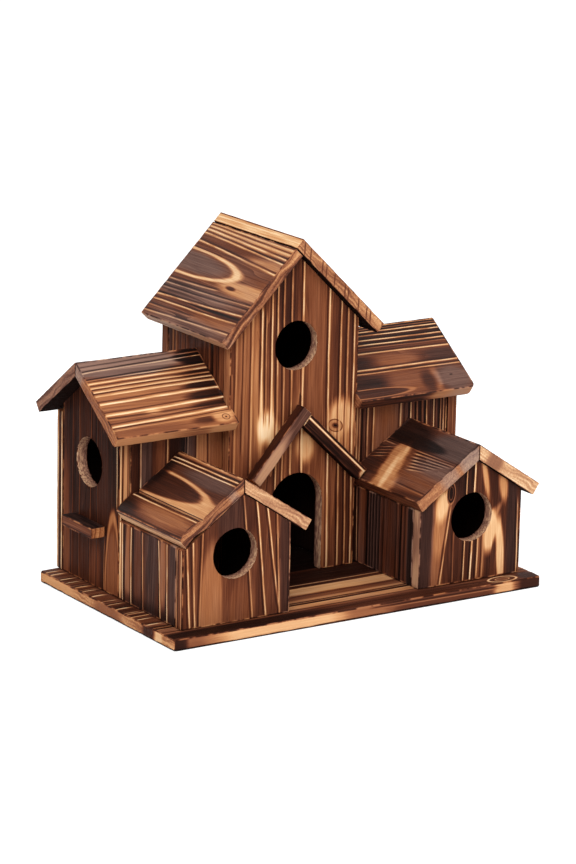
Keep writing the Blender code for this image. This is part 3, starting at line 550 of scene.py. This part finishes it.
BASE_BOARD = {
    # The three numbers at the end of the next line paint shade on the board where the rooms stand over it
    "facing": "top", "tone": 0.34, "ash": 0.2, "edge": 0.48, "end": 0.66, "room_shade": (22.0, 305.0, 93.0),
    "edge_flames": [
        flame(4, 4.5, 8, 12, 0.12, 0.4), flame(22, 4.5, 12, 12, 0.5), flame(92, 4.5, 62, 12, 0.83, 0.4),
        flame(168, 4.5, 22, 12, 0.55), flame(232, 4.5, 48, 12, 0.34, 0.3),
        flame(288, 4.5, 10, 12, 0.8, 0.4), flame(312, 4.5, 12, 12, 0.18, 0.4),
    ],
    "edge_lines": [line(2.4, 4.4, 0.56, 0.4, 0.9, reach=(170, 280))],
    "end_flames": [
        flame(100, 4.5, 22, 12, 0.5), flame(158, 4.5, 9, 12, 0.2), flame(172, 4.5, 6, 12, 0.84),
        flame(30, 4.5, 30, 12, 0.74),
    ],
    "flames": [
        # The first flame is a dark band painted as the shadow in front of the tower
        flame(160, 108, 200, 16, 0.12, 0.6), flame(180, 137, 140, 8, 0.8, 0.3),
        flame(180, 151, 180, 4, 0.46), flame(180, 156, 180, 2.5, 0.68), flame(160, 169, 180, 4, 0.7),
        flame(60, 184, 90, 8, 0.1, 0.4, ragged=0.4), flame(200, 184, 60, 7, 0.26),
        flame(291, 184, 12, 5.5, 0.34, 0.3, rim=0.84), flame(291, 184, 6, 2.6, 0.44, 0.3, rim=0.72),
        flame(313, 184, 9, 8, 0.2),
    ],
    "lines": [
        line(124, 123, 0.74, 0.8, 1.2), line(127.5, 126.5, 0.14, 0.5, 0.7),
        line(131, 130, 0.76, 0.7, 1.4), line(161.5, 160.5, 0.8, 0.7, 1.0),
        line(163.6, 162.6, 0.16, 0.5, 0.7), line(166, 165, 0.76, 0.7, 1.2), line(175, 174, 0.5),
    ] + [
        line(place, place + 4, 0.88, 0.9, width, reach=(0, 12))
        for place, width in ((6, 1.2), (13, 2.6), (27, 1.4), (36, 1.0), (49, 2.2), (60, 1.2), (73, 3.0),
                             (88, 1.4), (97, 1.0), (109, 2.4), (121, 1.2), (138, 1.6), (152, 2.4))
    ],
}
PORCH_LEFT = {
    "facing": "strip_left", "tone": 0.24, "ash": 0.1, "edge": 0.36, "edge_grey_and_sheen": 0.5, "end": 0.7,
    "contrast": 0.3,
    "edge_flames": [flame(56, 6, 34, 6, 0.72, 0.4, turn=4.0)],
}
PORCH_RIGHT = {
    "facing": "strip_right", "tone": 0.23, "ash": 0.1, "edge": 0.15, "end": 0.84, "contrast": 0.4,
    "edge_flames": [flame(74, 5, 8, 5, 0.9, 0.3)],
    "edge_lines": [line(2.9, 2.6, 0.91, 1.0, 1.7)],
}
PERCH = {
    "tone": 0.4, "ash": 0.2, "edge": 0.16, "edge_grey_and_sheen": 0.6, "end": 0.56, "end_ash": 0.0,
    "end_contrast": 0.2,
    "lines": [line(1.2, 1.2, 0.62, 0.5, 0.9), line(8.8, 8.8, 0.66, 0.5, 0.9)],
}


def hidden(facing, seed, width, count, **more):
    """A board that the camera doesn't see, with grown grain lines."""
    draw = random.Random(seed)
    flames = [
        flame(draw.uniform(0, 90), draw.uniform(0, width), draw.uniform(30, 80), draw.uniform(5, 14),
              draw.uniform(0.12, 0.6), 0.5)
        for _ in range(4)
    ]
    board = {
        "facing": facing, "tone": draw.uniform(0.32, 0.44), "ash": draw.uniform(0.0, 0.3), "edge": 0.45,
        "flames": flames, "lines": grown_lines(seed, width, count),
    }
    board.update(more)
    return board


BOARDS = {
    "base_board": moved(BASE_BOARD, 0, 2.6),
    "tower_front_board": TOWER_FRONT,
    "tower_back_board": hidden("back", 21, 115, 15),
    "tower_left_side": moved(TOWER_LEFT, 0, 2.6),
    "tower_right_side": hidden("right", 22, 84, 11),
    "tower_floor": hidden("top", 23, 80, 8),
    "tower_roof_left": TOWER_ROOF_LEFT,
    "tower_roof_right": TOWER_ROOF_RIGHT,
    "porch_left_strip": PORCH_LEFT,
    "porch_right_strip": PORCH_RIGHT,
    "left_wing_gable_wall": moved(LEFT_GABLE, 0, 2.6),
    "left_wing_front_wall": moved(LEFT_WING_FRONT, 0, -9.3),
    "left_wing_back_wall": hidden("back", 24, 88, 11, edge=0.26, edge_lines=[
        line(1.8, 1.8, 0.90, 1.0, 1.4), line(7.2, 7.2, 0.96, 0.8, 1.3)]),
    "left_wing_roof_front": LEFT_WING_ROOF,
    "left_wing_roof_back": hidden("roof_back", 25, 72, 10, end=0.46, end_ash=0.5),
    "left_wing_perch": {"facing": "perch_left", **PERCH},
    "right_wing_gable_wall": hidden("right", 26, 80, 10),
    "right_wing_front_wall": moved(RIGHT_WING_FRONT, 0, 4.7),
    "right_wing_back_wall": hidden("back", 27, 93, 12),
    "right_wing_roof_front": moved(RIGHT_WING_ROOF, 4.7, 0),
    "right_wing_roof_back": hidden("roof_back", 28, 72, 9, end=0.5),
    "right_wing_perch": {"facing": "perch_right", **PERCH},
    "left_house_front_board": LEFT_HOUSE_FRONT,
    "left_house_outer_wall": LEFT_HOUSE_OUTER,
    "left_house_inner_wall": hidden("right", 29, 88, 12),
    "left_house_roof_outer": LEFT_HOUSE_ROOF,
    "left_house_roof_inner": hidden("roof_right", 30, 64, 8, end=0.70, end_ash=0.35),
    "right_house_front_board": RIGHT_HOUSE_FRONT,
    "right_house_outer_wall": hidden("right", 31, 88, 12),
    "right_house_inner_wall": RIGHT_HOUSE_INNER,
    "right_house_roof_outer": hidden("roof_right", 32, 64, 9, end=0.77, end_ash=0.35, end_flames=[
        flame(20, 4.5, 9, 12, 0.52, 0.5)]),
    "right_house_roof_inner": RIGHT_HOUSE_ROOF,
}

# The box round each board's openings: middle along and across the grain and half sizes, in millimetres
ROUND_HALF = 20.5
OPENINGS = {
    "tower_front_board": ((175.4, 57.45, ROUND_HALF, ROUND_HALF), (38.0, 60.25, 41.5, 25.0)),
    "left_wing_gable_wall": ((92.7, 38.6, ROUND_HALF, ROUND_HALF),),
    "right_wing_gable_wall": ((92.7, 43.3, ROUND_HALF, ROUND_HALF),),
    "left_house_front_board": ((51.1, 43.9, ROUND_HALF, ROUND_HALF),),
    "right_house_front_board": ((49.6, 46.5, ROUND_HALF, ROUND_HALF),),
}
for board_name, boxes in OPENINGS.items():
    BOARDS[board_name]["openings"] = boxes


def linear(rgb):
    """An sRGB colour of 0 to 255 as the linear RGBA that the shader takes."""
    channels = [c / 255.0 for c in rgb]
    return [c / 12.92 if c <= 0.04045 else ((c + 0.055) / 1.055) ** 2.4 for c in channels] + [1.0]


class Board:
    """The frame of a board in millimetres: u along the grain, v across its face, w into the wood."""

    def __init__(self, node, facing):
        rough_out, grain = FACINGS[facing]
        rough_out = Vector(rough_out).normalized()
        mesh = node.data
        out = widest_normal([f for f in mesh.polygons if f.normal.dot(rough_out) > SAME_SIDE])
        if grain is None:
            side = Vector((0, 1, 0))
            grain = out.cross(side) if out.x < 0 else side.cross(out)
        self.u = Vector(grain)
        self.w = -out
        self.v = self.w.cross(self.u).normalized()
        self.turn = Matrix((self.u, self.v, self.w))
        places = [self.turn @ (vertex.co * MM) for vertex in mesh.vertices]
        self.corner = Vector([min(place[axis] for place in places) for axis in range(3)])
        self.size = Vector([max(place[axis] for place in places) for axis in range(3)]) - self.corner


def widest_normal(faces):
    """The mean normal of all faces that lie as flat as the widest of them."""
    widest = max(faces, key=lambda face: face.area).normal
    total = Vector((0, 0, 0))
    for face in faces:
        if face.normal.dot(widest) > SAME_PLANE:
            total += face.normal * face.area
    return total.normalized()


class Value:
    """A number in a material's tree. Reckoning with it adds nodes, and plain numbers can join in."""

    def __init__(self, graph, socket):
        self.graph = graph
        self.socket = socket

    def __add__(self, other):
        return self.graph.math("ADD", self, other)

    def __sub__(self, other):
        return self.graph.math("SUBTRACT", self, other)

    def __rsub__(self, other):
        return self.graph.math("SUBTRACT", other, self)

    def __mul__(self, other):
        return self.graph.math("MULTIPLY", self, other)

    def __truediv__(self, other):
        return self.graph.math("DIVIDE", self, other)

    def __pow__(self, other):
        return self.graph.math("POWER", self, other)

    def __abs__(self):
        return self.graph.math("ABSOLUTE", self)

    def least(self, other):
        return self.graph.math("MINIMUM", self, other)

    def most(self, other):
        return self.graph.math("MAXIMUM", self, other)

    def below(self, other):
        return self.graph.math("LESS_THAN", self, other)

    def clamp(self):
        """This sum or product kept from 0 to 1."""
        self.socket.node.use_clamp = True
        return self

    def ease(self, low, high, to_low=0.0, to_high=1.0):
        """Eases this value from between low and high to between two others."""
        made = self.graph.node("ShaderNodeMapRange", interpolation_type="SMOOTHSTEP", clamp=True)
        return self.graph.result(made, (self, low, high, to_low, to_high))

    def mix(self, a, b):
        """From a to b as this value goes from 0 to 1."""
        made = self.graph.node("ShaderNodeMix", data_type="FLOAT", clamp_factor=True)
        for index, value in ((0, self), (2, a), (3, b)):
            self.graph.feed(made.inputs[index], value)
        return Value(self.graph, made.outputs[0])


class Graph:
    """Adds nodes to a material's tree."""

    def __init__(self, tree):
        tree.nodes.clear()
        self.tree = tree

    def node(self, kind, **settings):
        made = self.tree.nodes.new(kind)
        for name, value in settings.items():
            setattr(made, name, value)
        return made

    def feed(self, socket, value):
        if isinstance(value, Value):
            value = value.socket
        if isinstance(value, bpy.types.NodeSocket):
            self.tree.links.new(value, socket)
        else:
            socket.default_value = value

    def result(self, made, values):
        """A node's first output, after its first inputs are fed."""
        for socket, value in zip(made.inputs, values):
            self.feed(socket, value)
        return Value(self, made.outputs[0])

    def math(self, operation, *values):
        return self.result(self.node("ShaderNodeMath", operation=operation), values)

    def vector(self, x, y, z=0.0):
        return self.result(self.node("ShaderNodeCombineXYZ"), (x, y, z))

    def dot(self, vector, direction):
        made = self.node("ShaderNodeVectorMath", operation="DOT_PRODUCT")
        self.feed(made.inputs[0], vector)
        made.inputs[1].default_value = direction
        return Value(self, made.outputs["Value"])

    def noise(self, place, kind):
        """One of the named speckles, at a place in millimetres."""
        given = SPECKLES[kind]
        scaled = self.node("ShaderNodeVectorMath", operation="MULTIPLY")
        self.feed(scaled.inputs[0], place)
        scaled.inputs[1].default_value = given["rate"]
        made = self.node("ShaderNodeTexNoise")
        self.feed(made.inputs["Vector"], scaled.outputs[0])
        made.inputs["Scale"].default_value = 1.0
        made.inputs["Detail"].default_value = given["detail"]
        made.inputs["Roughness"].default_value = given["roughness"]
        value = Value(self, made.outputs[0])
        return value.ease(*given["levels"]) if given["levels"] else value

    def colours(self, tone, kind):
        """The brown or ashen colour of a tone."""
        made = self.node("ShaderNodeValToRGB")
        points = made.color_ramp.elements
        for stop in TONES[1:-1]:
            points.new(stop[0])
        for point, stop in zip(points, TONES):
            point.position = stop[0]
            point.color = linear(stop[kind])
        return self.result(made, (tone,))

    def mix_colour(self, factor, a, b):
        made = self.node("ShaderNodeMix", data_type="RGBA", clamp_factor=True)
        for index, value in ((0, factor), (6, a), (7, b)):
            self.feed(made.inputs[index], value)
        return made.outputs[2]

    def seen_straight(self):
        """1 where the camera sees a surface itself or mirrored, and 0 where it only lights others."""
        rays = self.node("ShaderNodeLightPath")
        seen = Value(self, rays.outputs["Is Camera Ray"]).most(rays.outputs["Is Glossy Ray"])
        return seen.most(rays.outputs["Is Transmission Ray"])

    def finish(self, kind, shader):
        self.feed(self.node(kind).inputs["Surface"], shader.outputs[0])


def grain_place(graph, board):
    """Values for u, v and w in millimetres and for v with the waves of the grain, and the place as one."""
    mapped = graph.node("ShaderNodeMapping", vector_type="POINT")
    graph.feed(mapped.inputs["Vector"], graph.node("ShaderNodeTexCoord").outputs["Object"])
    mapped.inputs["Scale"].default_value = (MM, MM, MM)
    mapped.inputs["Rotation"].default_value = board.turn.to_euler("XYZ")
    mapped.inputs["Location"].default_value = -board.corner
    split = graph.node("ShaderNodeSeparateXYZ")
    graph.feed(split.inputs[0], mapped.outputs[0])
    u, v, w = (Value(graph, socket) for socket in split.outputs)
    waved = v
    for size, along, across, phase in GRAIN_WAVES:
        angle = u / along + v / across + phase
        waved = graph.math("SINE", angle) * size + waved
    return u, v, w, waved, mapped.outputs[0]


def line_mask(u, v, length, one):
    """1 on the crest of a grain line, and 1 in the middle of its dark side."""
    off = v - (u * ((one["end"] - one["start"]) / length) + one["start"])
    crest = (off / one["rise"] + 1.0).least(1.0 - off / one["fall"])
    mask = (crest * LINE_CORE).clamp() ** LINE_FALLOFF
    dark = (1.0 - abs(off + (one["rise"] + SHADE_WIDTH)) / SHADE_WIDTH).clamp()
    if one["reach"]:
        first, last = one["reach"]
        within = u.ease(first - FADE_OUTSIDE, first + FADE_INSIDE)
        within = within * u.ease(last + FADE_OUTSIDE, last - FADE_INSIDE)
        mask = mask * within
        dark = dark * within
    return mask, dark


def add_line(tone, u, v, length, fade, one):
    """The tone with one grain line and its dark side laid over it, and the line's own mask."""
    mask, dark = line_mask(u, v, length, one)
    mask = mask * fade
    return mask.mix(tone * (1.0 - dark * one["shade"]), one["tone"]), mask


def flame_reach(u, v, ragged, one):
    """Distance from the flame's middle, 1 at its rim."""
    along = u - one["u"]
    across = v - one["v"]
    if one["turn"]:
        cosine = math.cos(math.radians(one["turn"]))
        sine = math.sin(math.radians(one["turn"]))
        along, across = along * cosine + across * sine, across * cosine - along * sine
    along = along / one["half_u"]
    across = across / one["half_v"]
    return ragged * one["ragged"] + u.graph.math("SQRT", along * along + across * across)


def flame_inside(reach, one, cover=1.0):
    """The cover within a flame, and 0 outside it, with its soft border between."""
    return reach.ease(1.0 + one["soft"] * 0.5, 1.0 - one["soft"], 0.0, cover)


def add_flame(tone, u, v, ragged, one):
    """The tone with one flame's field laid over it, and its pale rim if it has one."""
    reach = flame_reach(u, v, ragged, one)
    tone = flame_inside(reach, one, FLAME_COVER).mix(tone, one["tone"])
    if one["rim"]:
        tone = abs(reach - RIM_PLACE).ease(RIM_FAINT, RIM_FULL).mix(tone, one["rim"])
    return tone


def from_side(place, size):
    """How far a place is from the nearer side of a board."""
    return place.least(size - place)


def growth_rings(u, waved):
    """Growth rings of uneven width and strength: each one brightens slowly and ends in a pale line."""
    graph = u.graph
    drift = graph.noise(graph.vector(u, waved), "ring_drift")
    count = waved / RING_WIDTH + drift * RING_DRIFT
    place = graph.math("FRACT", count)
    cell = graph.node("ShaderNodeTexWhiteNoise", noise_dimensions="1D")
    graph.feed(cell.inputs["W"], graph.math("FLOOR", count))
    strength = Value(graph, cell.outputs["Value"]) ** RING_UNEVEN
    dark = (1.0 - place) ** RING_DARK_POWER
    return place ** RING_PALE_POWER * strength - dark * RING_DARK


def end_rings(u, v, w):
    """Uneven growth rings as a board's end shows them, lying along the board, from 0 to 1."""
    graph = u.graph
    depth = graph.noise(graph.vector(v, w, u), "end_bend") * END_BEND + w
    return graph.noise(graph.vector(v, depth, u), "end_rings")


def opening_mask(u, v, opening):
    """1 within the box round an opening, given as middle u and v and half sizes."""
    middle_u, middle_v, half_u, half_v = opening
    return abs(u - middle_u).below(half_u) * abs(v - middle_v).below(half_v)


class BurntWood:
    """The scorched finish of one board: grain lines, flames and fine streaks, with bare ends and edges."""

    def __init__(self, name, look, board):
        self.material = bpy.data.materials.new(name)
        self.material.use_nodes = True
        graph = Graph(self.material.node_tree)
        self.graph, self.look, self.size = graph, look, board.size
        self.u, self.v, self.w, self.waved, self.place = grain_place(graph, board)
        self.grain = graph.vector(self.u, self.waved, self.w)
        self.ragged = (graph.noise(self.grain, "ragged") - 0.5) * RAGGED_SWING
        self.streaks = graph.noise(self.grain, "streaks")
        self.fine = graph.noise(self.grain, "fine")
        self.fade = graph.noise(self.grain, "fade")
        self.worn = graph.noise(self.place, "worn")
        normal = graph.node("ShaderNodeTexCoord").outputs["Normal"]
        self.to_end = abs(graph.dot(normal, board.u)).ease(*SIDE_TURN)
        self.to_edge = abs(graph.dot(normal, board.v)).ease(*SIDE_TURN)
        self.inward = graph.dot(normal, board.w)
        self.to_inside = self.inward.ease(*BACK_TURN)

    def face_tone(self):
        """The tone of the broad faces, and a mask of the pale lines that stand up from them."""
        look = self.look
        tone = (self.graph.noise(self.grain, "broad") - 0.5) * BROAD_SWING + look["tone"]
        tone = tone + (self.streaks - STREAK_MIDDLE) * (STREAK_SWING * look["contrast"])
        tone = tone + growth_rings(self.u, self.waved) * (RING_SWING * look["contrast"])
        for one in look["flames"]:
            tone = add_flame(tone, self.u, self.waved, self.ragged, one)
        ridges = 0.0
        for one in look["lines"]:
            tone, mask = add_line(tone, self.u, self.waved, self.size.x, self.fade, one)
            if one["tone"] > look["tone"]:
                ridges = mask.most(ridges)
        tone = tone + (self.fine - 0.5) * FINE_SWING
        if look["room_shade"]:
            tone = self.add_room_shade(tone)
        near_side = from_side(self.u, self.size.x).least(from_side(self.v, self.size.y))
        return (near_side.ease(*BORDER_WIDTH) * BORDER_WEAR).mix(tone, self.worn), ridges

    def add_room_shade(self, tone):
        """The tone with painted shade where the rooms stand: between two places along, and behind one
        across.
        """
        first, last, front = self.look["room_shade"]
        room_shade = self.v.ease(front + ROOM_SHADE_FRONT_SOFT, front)
        room_shade = room_shade * self.u.ease(first - ROOM_SHADE_SIDE_SOFT, first + ROOM_SHADE_SIDE_SOFT)
        room_shade = room_shade * self.u.ease(last + ROOM_SHADE_SIDE_SOFT, last - ROOM_SHADE_SIDE_SOFT)
        return tone * (1.0 - room_shade * ROOM_SHADE_COVER)

    def edge_tone(self):
        """The tone of the long narrow faces."""
        tone = (self.graph.noise(self.grain, "edge") - 0.5) * EDGE_SWING + self.look["edge"]
        for one in self.look["edge_flames"]:
            tone = add_flame(tone, self.u, self.w, self.ragged, one)
        for one in self.look["edge_lines"]:
            tone = add_line(tone, self.u, self.w, self.size.x, self.fade, one)[0]
        return self.wear_arris(tone)

    def end_tone(self):
        """The tone of the sawn ends, with their growth rings and rough fibres."""
        rings = end_rings(self.u, self.v, self.w)
        tone = (rings - 0.5) * self.look["end_contrast"] + self.look["end"]
        tone = tone + (self.graph.noise(self.place, "fibres") - 0.5) * FIBRE_SWING
        for one in self.look["end_flames"]:
            tone = add_flame(tone, self.v, self.w, self.ragged, one)
        return self.wear_arris(tone)

    def wear_arris(self, tone):
        """The tone of an edge or end, worn along the arrises that it shares with the broad faces."""
        arris = from_side(self.w, self.size.z).ease(*ARRIS_WIDTH)
        return (arris * ARRIS_WEAR).mix(tone, self.worn)

    def ash(self):
        """How grey the colour is, from 0 for brown to 1 for grey: a grey cast that paints sheen, overall,
        in patches, on the edges and on the ends.
        """
        look = self.look
        ash = (self.graph.noise(self.grain, "ash") * look["ash"]).clamp()
        ash = self.to_edge.mix(ash, look["edge_grey_and_sheen"])
        ash = self.to_end.mix(ash, look["end_ash"])
        for one in look["grey_sheen_patches"]:
            reach = flame_reach(self.u, self.waved, self.ragged, one)
            ash = flame_inside(reach, one).mix(ash, one["tone"])
        return ash

    def tear_openings(self, tone, ash):
        """The tone and the grey with torn pale wood in the walls of the openings, and painted shade that
        deepens into them.
        """
        for opening in self.look["openings"]:
            walls = opening_mask(self.u, self.v, opening) * abs(self.inward).ease(*WALL_TURN)
            # Painted shade: the torn wood grows darker deeper into the opening
            lit = self.w.ease(TORN_DEPTH, 0.0, TORN_SHADE_DARKEST, 1.0)
            tone = walls.mix(tone, self.graph.noise(self.place, "torn") * lit)
            ash = walls.mix(ash, TORN_ASH)
        return tone, ash

    def build(self):
        """The finished material."""
        graph = self.graph
        tone, ridges = self.face_tone()
        tone = self.to_edge.mix(tone, self.edge_tone())
        tone = self.to_end.mix(tone, self.end_tone())
        # Painted shade: the inner faces and the roofs' undersides turn near black.
        tone = self.to_inside.mix(tone, self.fine * INSIDE_SHADE_SWING + INSIDE_SHADE_TONE)
        tone, ash = self.tear_openings(tone, self.ash())
        # Grey mixed into the colour is painted sheen, and in the openings' walls the real grey of torn wood
        colour = graph.mix_colour(ash, graph.colours(tone, BROWN), graph.colours(tone, GREY_AND_SHEEN))
        oiled = self.streaks * -OILED_SWING + OILED_ROUGHNESS
        bump = graph.node("ShaderNodeBump")
        bump.inputs["Strength"].default_value = BUMP_STRENGTH
        bump.inputs["Distance"].default_value = BUMP_DISTANCE
        graph.feed(bump.inputs["Height"], self.streaks * STREAK_HEIGHT + self.fine * FINE_HEIGHT + ridges)
        shader = graph.node("ShaderNodeBsdfPrincipled")
        graph.feed(shader.inputs["Base Color"], colour)
        graph.feed(shader.inputs["Roughness"], self.to_inside.mix(oiled, 1.0))
        shader.inputs["Specular IOR Level"].default_value = self.look["sheen"]
        graph.feed(shader.inputs["Normal"], bump.outputs[0])
        graph.finish("ShaderNodeOutputMaterial", shader)
        return self.material


def eased(part):
    return part * part * (3 - 2 * part)


def smooth_step(value, low, high):
    return eased(np.clip((value - low) / (high - low), 0, 1))


class SmoothNoise:
    """Smooth random values in space, from a seeded lattice that repeats."""

    SIDE = 32
    OFFSET = 7.3

    def __init__(self, seed):
        self.lattice = np.random.default_rng(seed).random((self.SIDE,) * 3)

    def at(self, places, size):
        """Values from 0 to 1 at these places, with bumps of this size."""
        at = places / np.array(size) + self.OFFSET
        low = np.floor(at).astype(int)
        part = eased(at - low)
        total = np.zeros(len(places))
        for corner in np.ndindex(2, 2, 2):
            index = (low + corner) % self.SIDE
            weight = np.prod(np.where(corner, part, 1 - part), axis=1)
            total += weight * self.lattice[index[:, 0], index[:, 1], index[:, 2]]
        return total


def read_vectors(items, name):
    """One vector of each item of a mesh, as rows."""
    values = np.zeros(len(items) * 3)
    items.foreach_get(name, values)
    return values.reshape(-1, 3)


def cut_grid(cage, size):
    """Cuts the board in its own frame into long narrow faces that follow the grain."""
    for axis, step in enumerate((STEP_ALONG, STEP_ACROSS, STEP_DEEP)):
        count = int(size[axis] / step)
        normal = Vector((0, 0, 0))
        normal[axis] = 1
        for index in range(1, count + 1):
            everything = cage.verts[:] + cage.edges[:] + cage.faces[:]
            bmesh.ops.bisect_plane(cage, geom=everything, dist=CUT_TOLERANCE, plane_no=normal,
                                   plane_co=normal * size[axis] * index / (count + 1))


def cut_copy(node, to_board, size):
    """A finely cut copy of a board's mesh, in the board's own frame."""
    cage = bmesh.new()
    cage.from_mesh(node.data)
    cage.transform(to_board)
    bmesh.ops.remove_doubles(cage, verts=cage.verts, dist=WELD_DISTANCE)
    bmesh.ops.dissolve_limit(cage, angle_limit=FLAT_ANGLE, verts=cage.verts, edges=cage.edges)
    cut_grid(cage, size)
    bmesh.ops.recalc_face_normals(cage, faces=cage.faces)
    mesh = bpy.data.meshes.new(node.name + "_wood")
    cage.to_mesh(mesh)
    cage.free()
    return mesh


def creases(mesh):
    """How sharply the faces round each vertex meet: 0 where they are flat."""
    count = len(mesh.vertices)
    corners = np.zeros(len(mesh.loops), int)
    mesh.loops.foreach_get("vertex_index", corners)
    sides = np.zeros(len(mesh.polygons), int)
    mesh.polygons.foreach_get("loop_total", sides)
    spread = np.repeat(read_vectors(mesh.polygons, "normal"), sides, axis=0)
    total = np.zeros((count, 3))
    np.add.at(total, corners, spread)
    shared = np.bincount(corners, minlength=count)
    return 1 - np.linalg.norm(total, axis=1) / np.maximum(shared, 1)


def wave(u, v):
    """The same bending of the grain as in the finish."""
    bent = v.copy()
    for size, along, across, phase in GRAIN_WAVES:
        bent += size * np.sin(u / along + v / across + phase)
    return bent


def ridge_heights(u, waved, length, look):
    """Where the pale grain lines stand up, from 0 to 1."""
    heights = np.zeros(len(u))
    for one in look["lines"]:
        if one["tone"] <= look["tone"]:
            continue
        off = waved - (one["start"] + (one["end"] - one["start"]) * u / length)
        mask = np.minimum(1 + off / (one["rise"] + RIDGE_SPREAD), 1 - off / (one["fall"] + RIDGE_SPREAD))
        if one["reach"]:
            first, last = one["reach"]
            mask = mask * smooth_step(u, first - FADE_OUTSIDE, first + FADE_INSIDE)
            mask = mask * (1 - smooth_step(u, last - FADE_INSIDE, last + FADE_OUTSIDE))
        heights = np.maximum(heights, np.clip(mask, 0, 1))
    return heights


def weather(mesh, look, board, seed):
    """Sinks the wood between the grain lines, wears the arrises and roughens the sides."""
    places = read_vectors(mesh.vertices, "co")
    normals = read_vectors(mesh.vertex_normals, "vector")
    u, v, w = places.T
    waved = wave(u, v)
    grain = np.stack((u, waved, w), axis=1)
    noise = SmoothNoise(seed)
    outward = smooth_step(-normals[:, 2], *OUTWARD_TURN)
    sideways = 1 - smooth_step(np.abs(normals[:, 2]), *SIDEWAYS_TURN)
    creased = smooth_step(creases(mesh), *CREASE_LEVELS)
    ridges = ridge_heights(u, waved, board.size.x, look)
    hollows = HOLLOW_SHARE * (1 - ridges) + (1 - HOLLOW_SHARE) * noise.at(grain, STREAK_SIZE)
    dents = smooth_step(noise.at(places, DENT_SIZE), *DENT_LEVELS)
    nicks = noise.at(places, NICK_SIZE)
    depth = outward * RELIEF * hollows
    depth += sideways * SIDE_RELIEF * noise.at(places, CRUMB_SIZE)
    depth += creased * EDGE_WEAR * (EVEN_SHARE + DENT_SHARE * dents + NICK_SHARE * nicks * nicks)
    places = places - normals * depth[:, None]
    mesh.vertices.foreach_set("co", places.ravel())


def dress(node, look, board, seed):
    """A finely cut copy of a board with raised grain, worn edges and torn wood in its openings."""
    to_board = board.turn.to_4x4() @ Matrix.Scale(MM, 4)
    to_board = Matrix.Translation(-board.corner) @ to_board
    mesh = cut_copy(node, to_board, board.size)
    weather(mesh, look, board, seed)
    mesh.transform(to_board.inverted())
    mesh.shade_smooth()
    mesh.set_sharp_from_angle(angle=SHARP_ANGLE)
    mesh.update()
    wood = bpy.data.objects.new(node.name + "_wood", mesh)
    bpy.context.scene.collection.objects.link(wood)
    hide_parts(node.name)
    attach(wood, "root")
    return wood


def finish_boards():
    for seed, (name, own_look) in enumerate(BOARDS.items()):
        look = {**USUAL_LOOK, **own_look}
        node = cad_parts[name]
        board = Board(node, look["facing"])
        finish = BurntWood(name + "_finish", look, board).build()
        wood = dress(node, look, board, seed)
        wood.data.materials.clear()
        wood.data.materials.append(finish)


def make_camera():
    """The camera at the photograph's place, with the roll of a hand-held picture."""
    azimuth, elevation, roll = (math.radians(x) for x in (CAMERA_AZIMUTH, CAMERA_ELEVATION, CAMERA_ROLL))
    back = Vector((math.sin(azimuth) * math.cos(elevation), -math.cos(azimuth) * math.cos(elevation),
                   math.sin(elevation)))
    right = Vector((math.cos(azimuth), math.sin(azimuth), 0.0))
    up = back.cross(right)
    rolled_right = right * math.cos(roll) + up * math.sin(roll)
    rolled_up = up * math.cos(roll) - right * math.sin(roll)
    target = Vector(TARGET) + rolled_right * TARGET_RIGHT + rolled_up * TARGET_UP
    data = bpy.data.cameras.new("camera")
    data.sensor_fit = "VERTICAL"
    data.sensor_height = SENSOR_HEIGHT
    data.lens = FOCAL_PIXELS * SENSOR_HEIGHT / IMAGE_HEIGHT
    data.clip_start = NEAREST_SEEN
    data.clip_end = FARTHEST_SEEN
    camera = bpy.data.objects.new("camera", data)
    camera.matrix_world = Matrix.Translation(target + back * CAMERA_DISTANCE) @ Matrix(
        (rolled_right, rolled_up, back)).transposed().to_4x4()
    bpy.context.scene.collection.objects.link(camera)
    bpy.context.scene.camera = camera


def make_floor():
    """A pale floor that is white to the camera and in reflections, and keeps the object's shadow."""
    mesh = bpy.data.meshes.new("floor")
    cage = bmesh.new()
    bmesh.ops.create_grid(cage, x_segments=1, y_segments=1, size=FLOOR_HALF)
    cage.to_mesh(mesh)
    cage.free()
    floor = bpy.data.objects.new("floor", mesh)
    floor.location.z = -FLOOR_DROP
    bpy.context.scene.collection.objects.link(floor)
    material = bpy.data.materials.new("floor_paper")
    material.use_nodes = True
    graph = Graph(material.node_tree)
    paper = graph.node("ShaderNodeBsdfDiffuse")
    paper.inputs["Color"].default_value = FLOOR_COLOUR
    glow = graph.node("ShaderNodeEmission")
    graph.feed(glow.inputs["Strength"], graph.seen_straight() * FLOOR_GLOW)
    both = graph.node("ShaderNodeAddShader")
    graph.feed(both.inputs[0], paper.outputs[0])
    graph.feed(both.inputs[1], glow.outputs[0])
    graph.finish("ShaderNodeOutputMaterial", both)
    mesh.materials.append(material)


def add_area(name, place, size, power):
    """A square soft light that points at the middle of the birdhouse."""
    data = bpy.data.lights.new(name, "AREA")
    data.shape = "RECTANGLE"
    data.size = size
    data.size_y = size
    data.energy = power
    lamp = bpy.data.objects.new(name, data)
    lamp.location = place
    aim = Vector(LIGHT_TARGET) - Vector(place)
    lamp.rotation_mode = "QUATERNION"
    lamp.rotation_quaternion = aim.to_track_quat("-Z", "Y")
    bpy.context.scene.collection.objects.link(lamp)


def make_light():
    """Two soft lamps, and a sky that is white to the camera and dimmer as a light."""
    for name, (place, size, power) in LAMPS.items():
        add_area(name, place, size, power)
    world = bpy.data.worlds.new("world")
    world.use_nodes = True
    graph = Graph(world.node_tree)
    sky = graph.node("ShaderNodeBackground")
    sky.inputs["Color"].default_value = (1, 1, 1, 1)
    graph.feed(sky.inputs["Strength"], graph.seen_straight().mix(SKY_LIGHT, 1.0))
    graph.finish("ShaderNodeOutputWorld", sky)
    bpy.context.scene.world = world
    bpy.context.scene.view_settings.view_transform = "Standard"


make_camera()
make_floor()
make_light()
finish_boards()
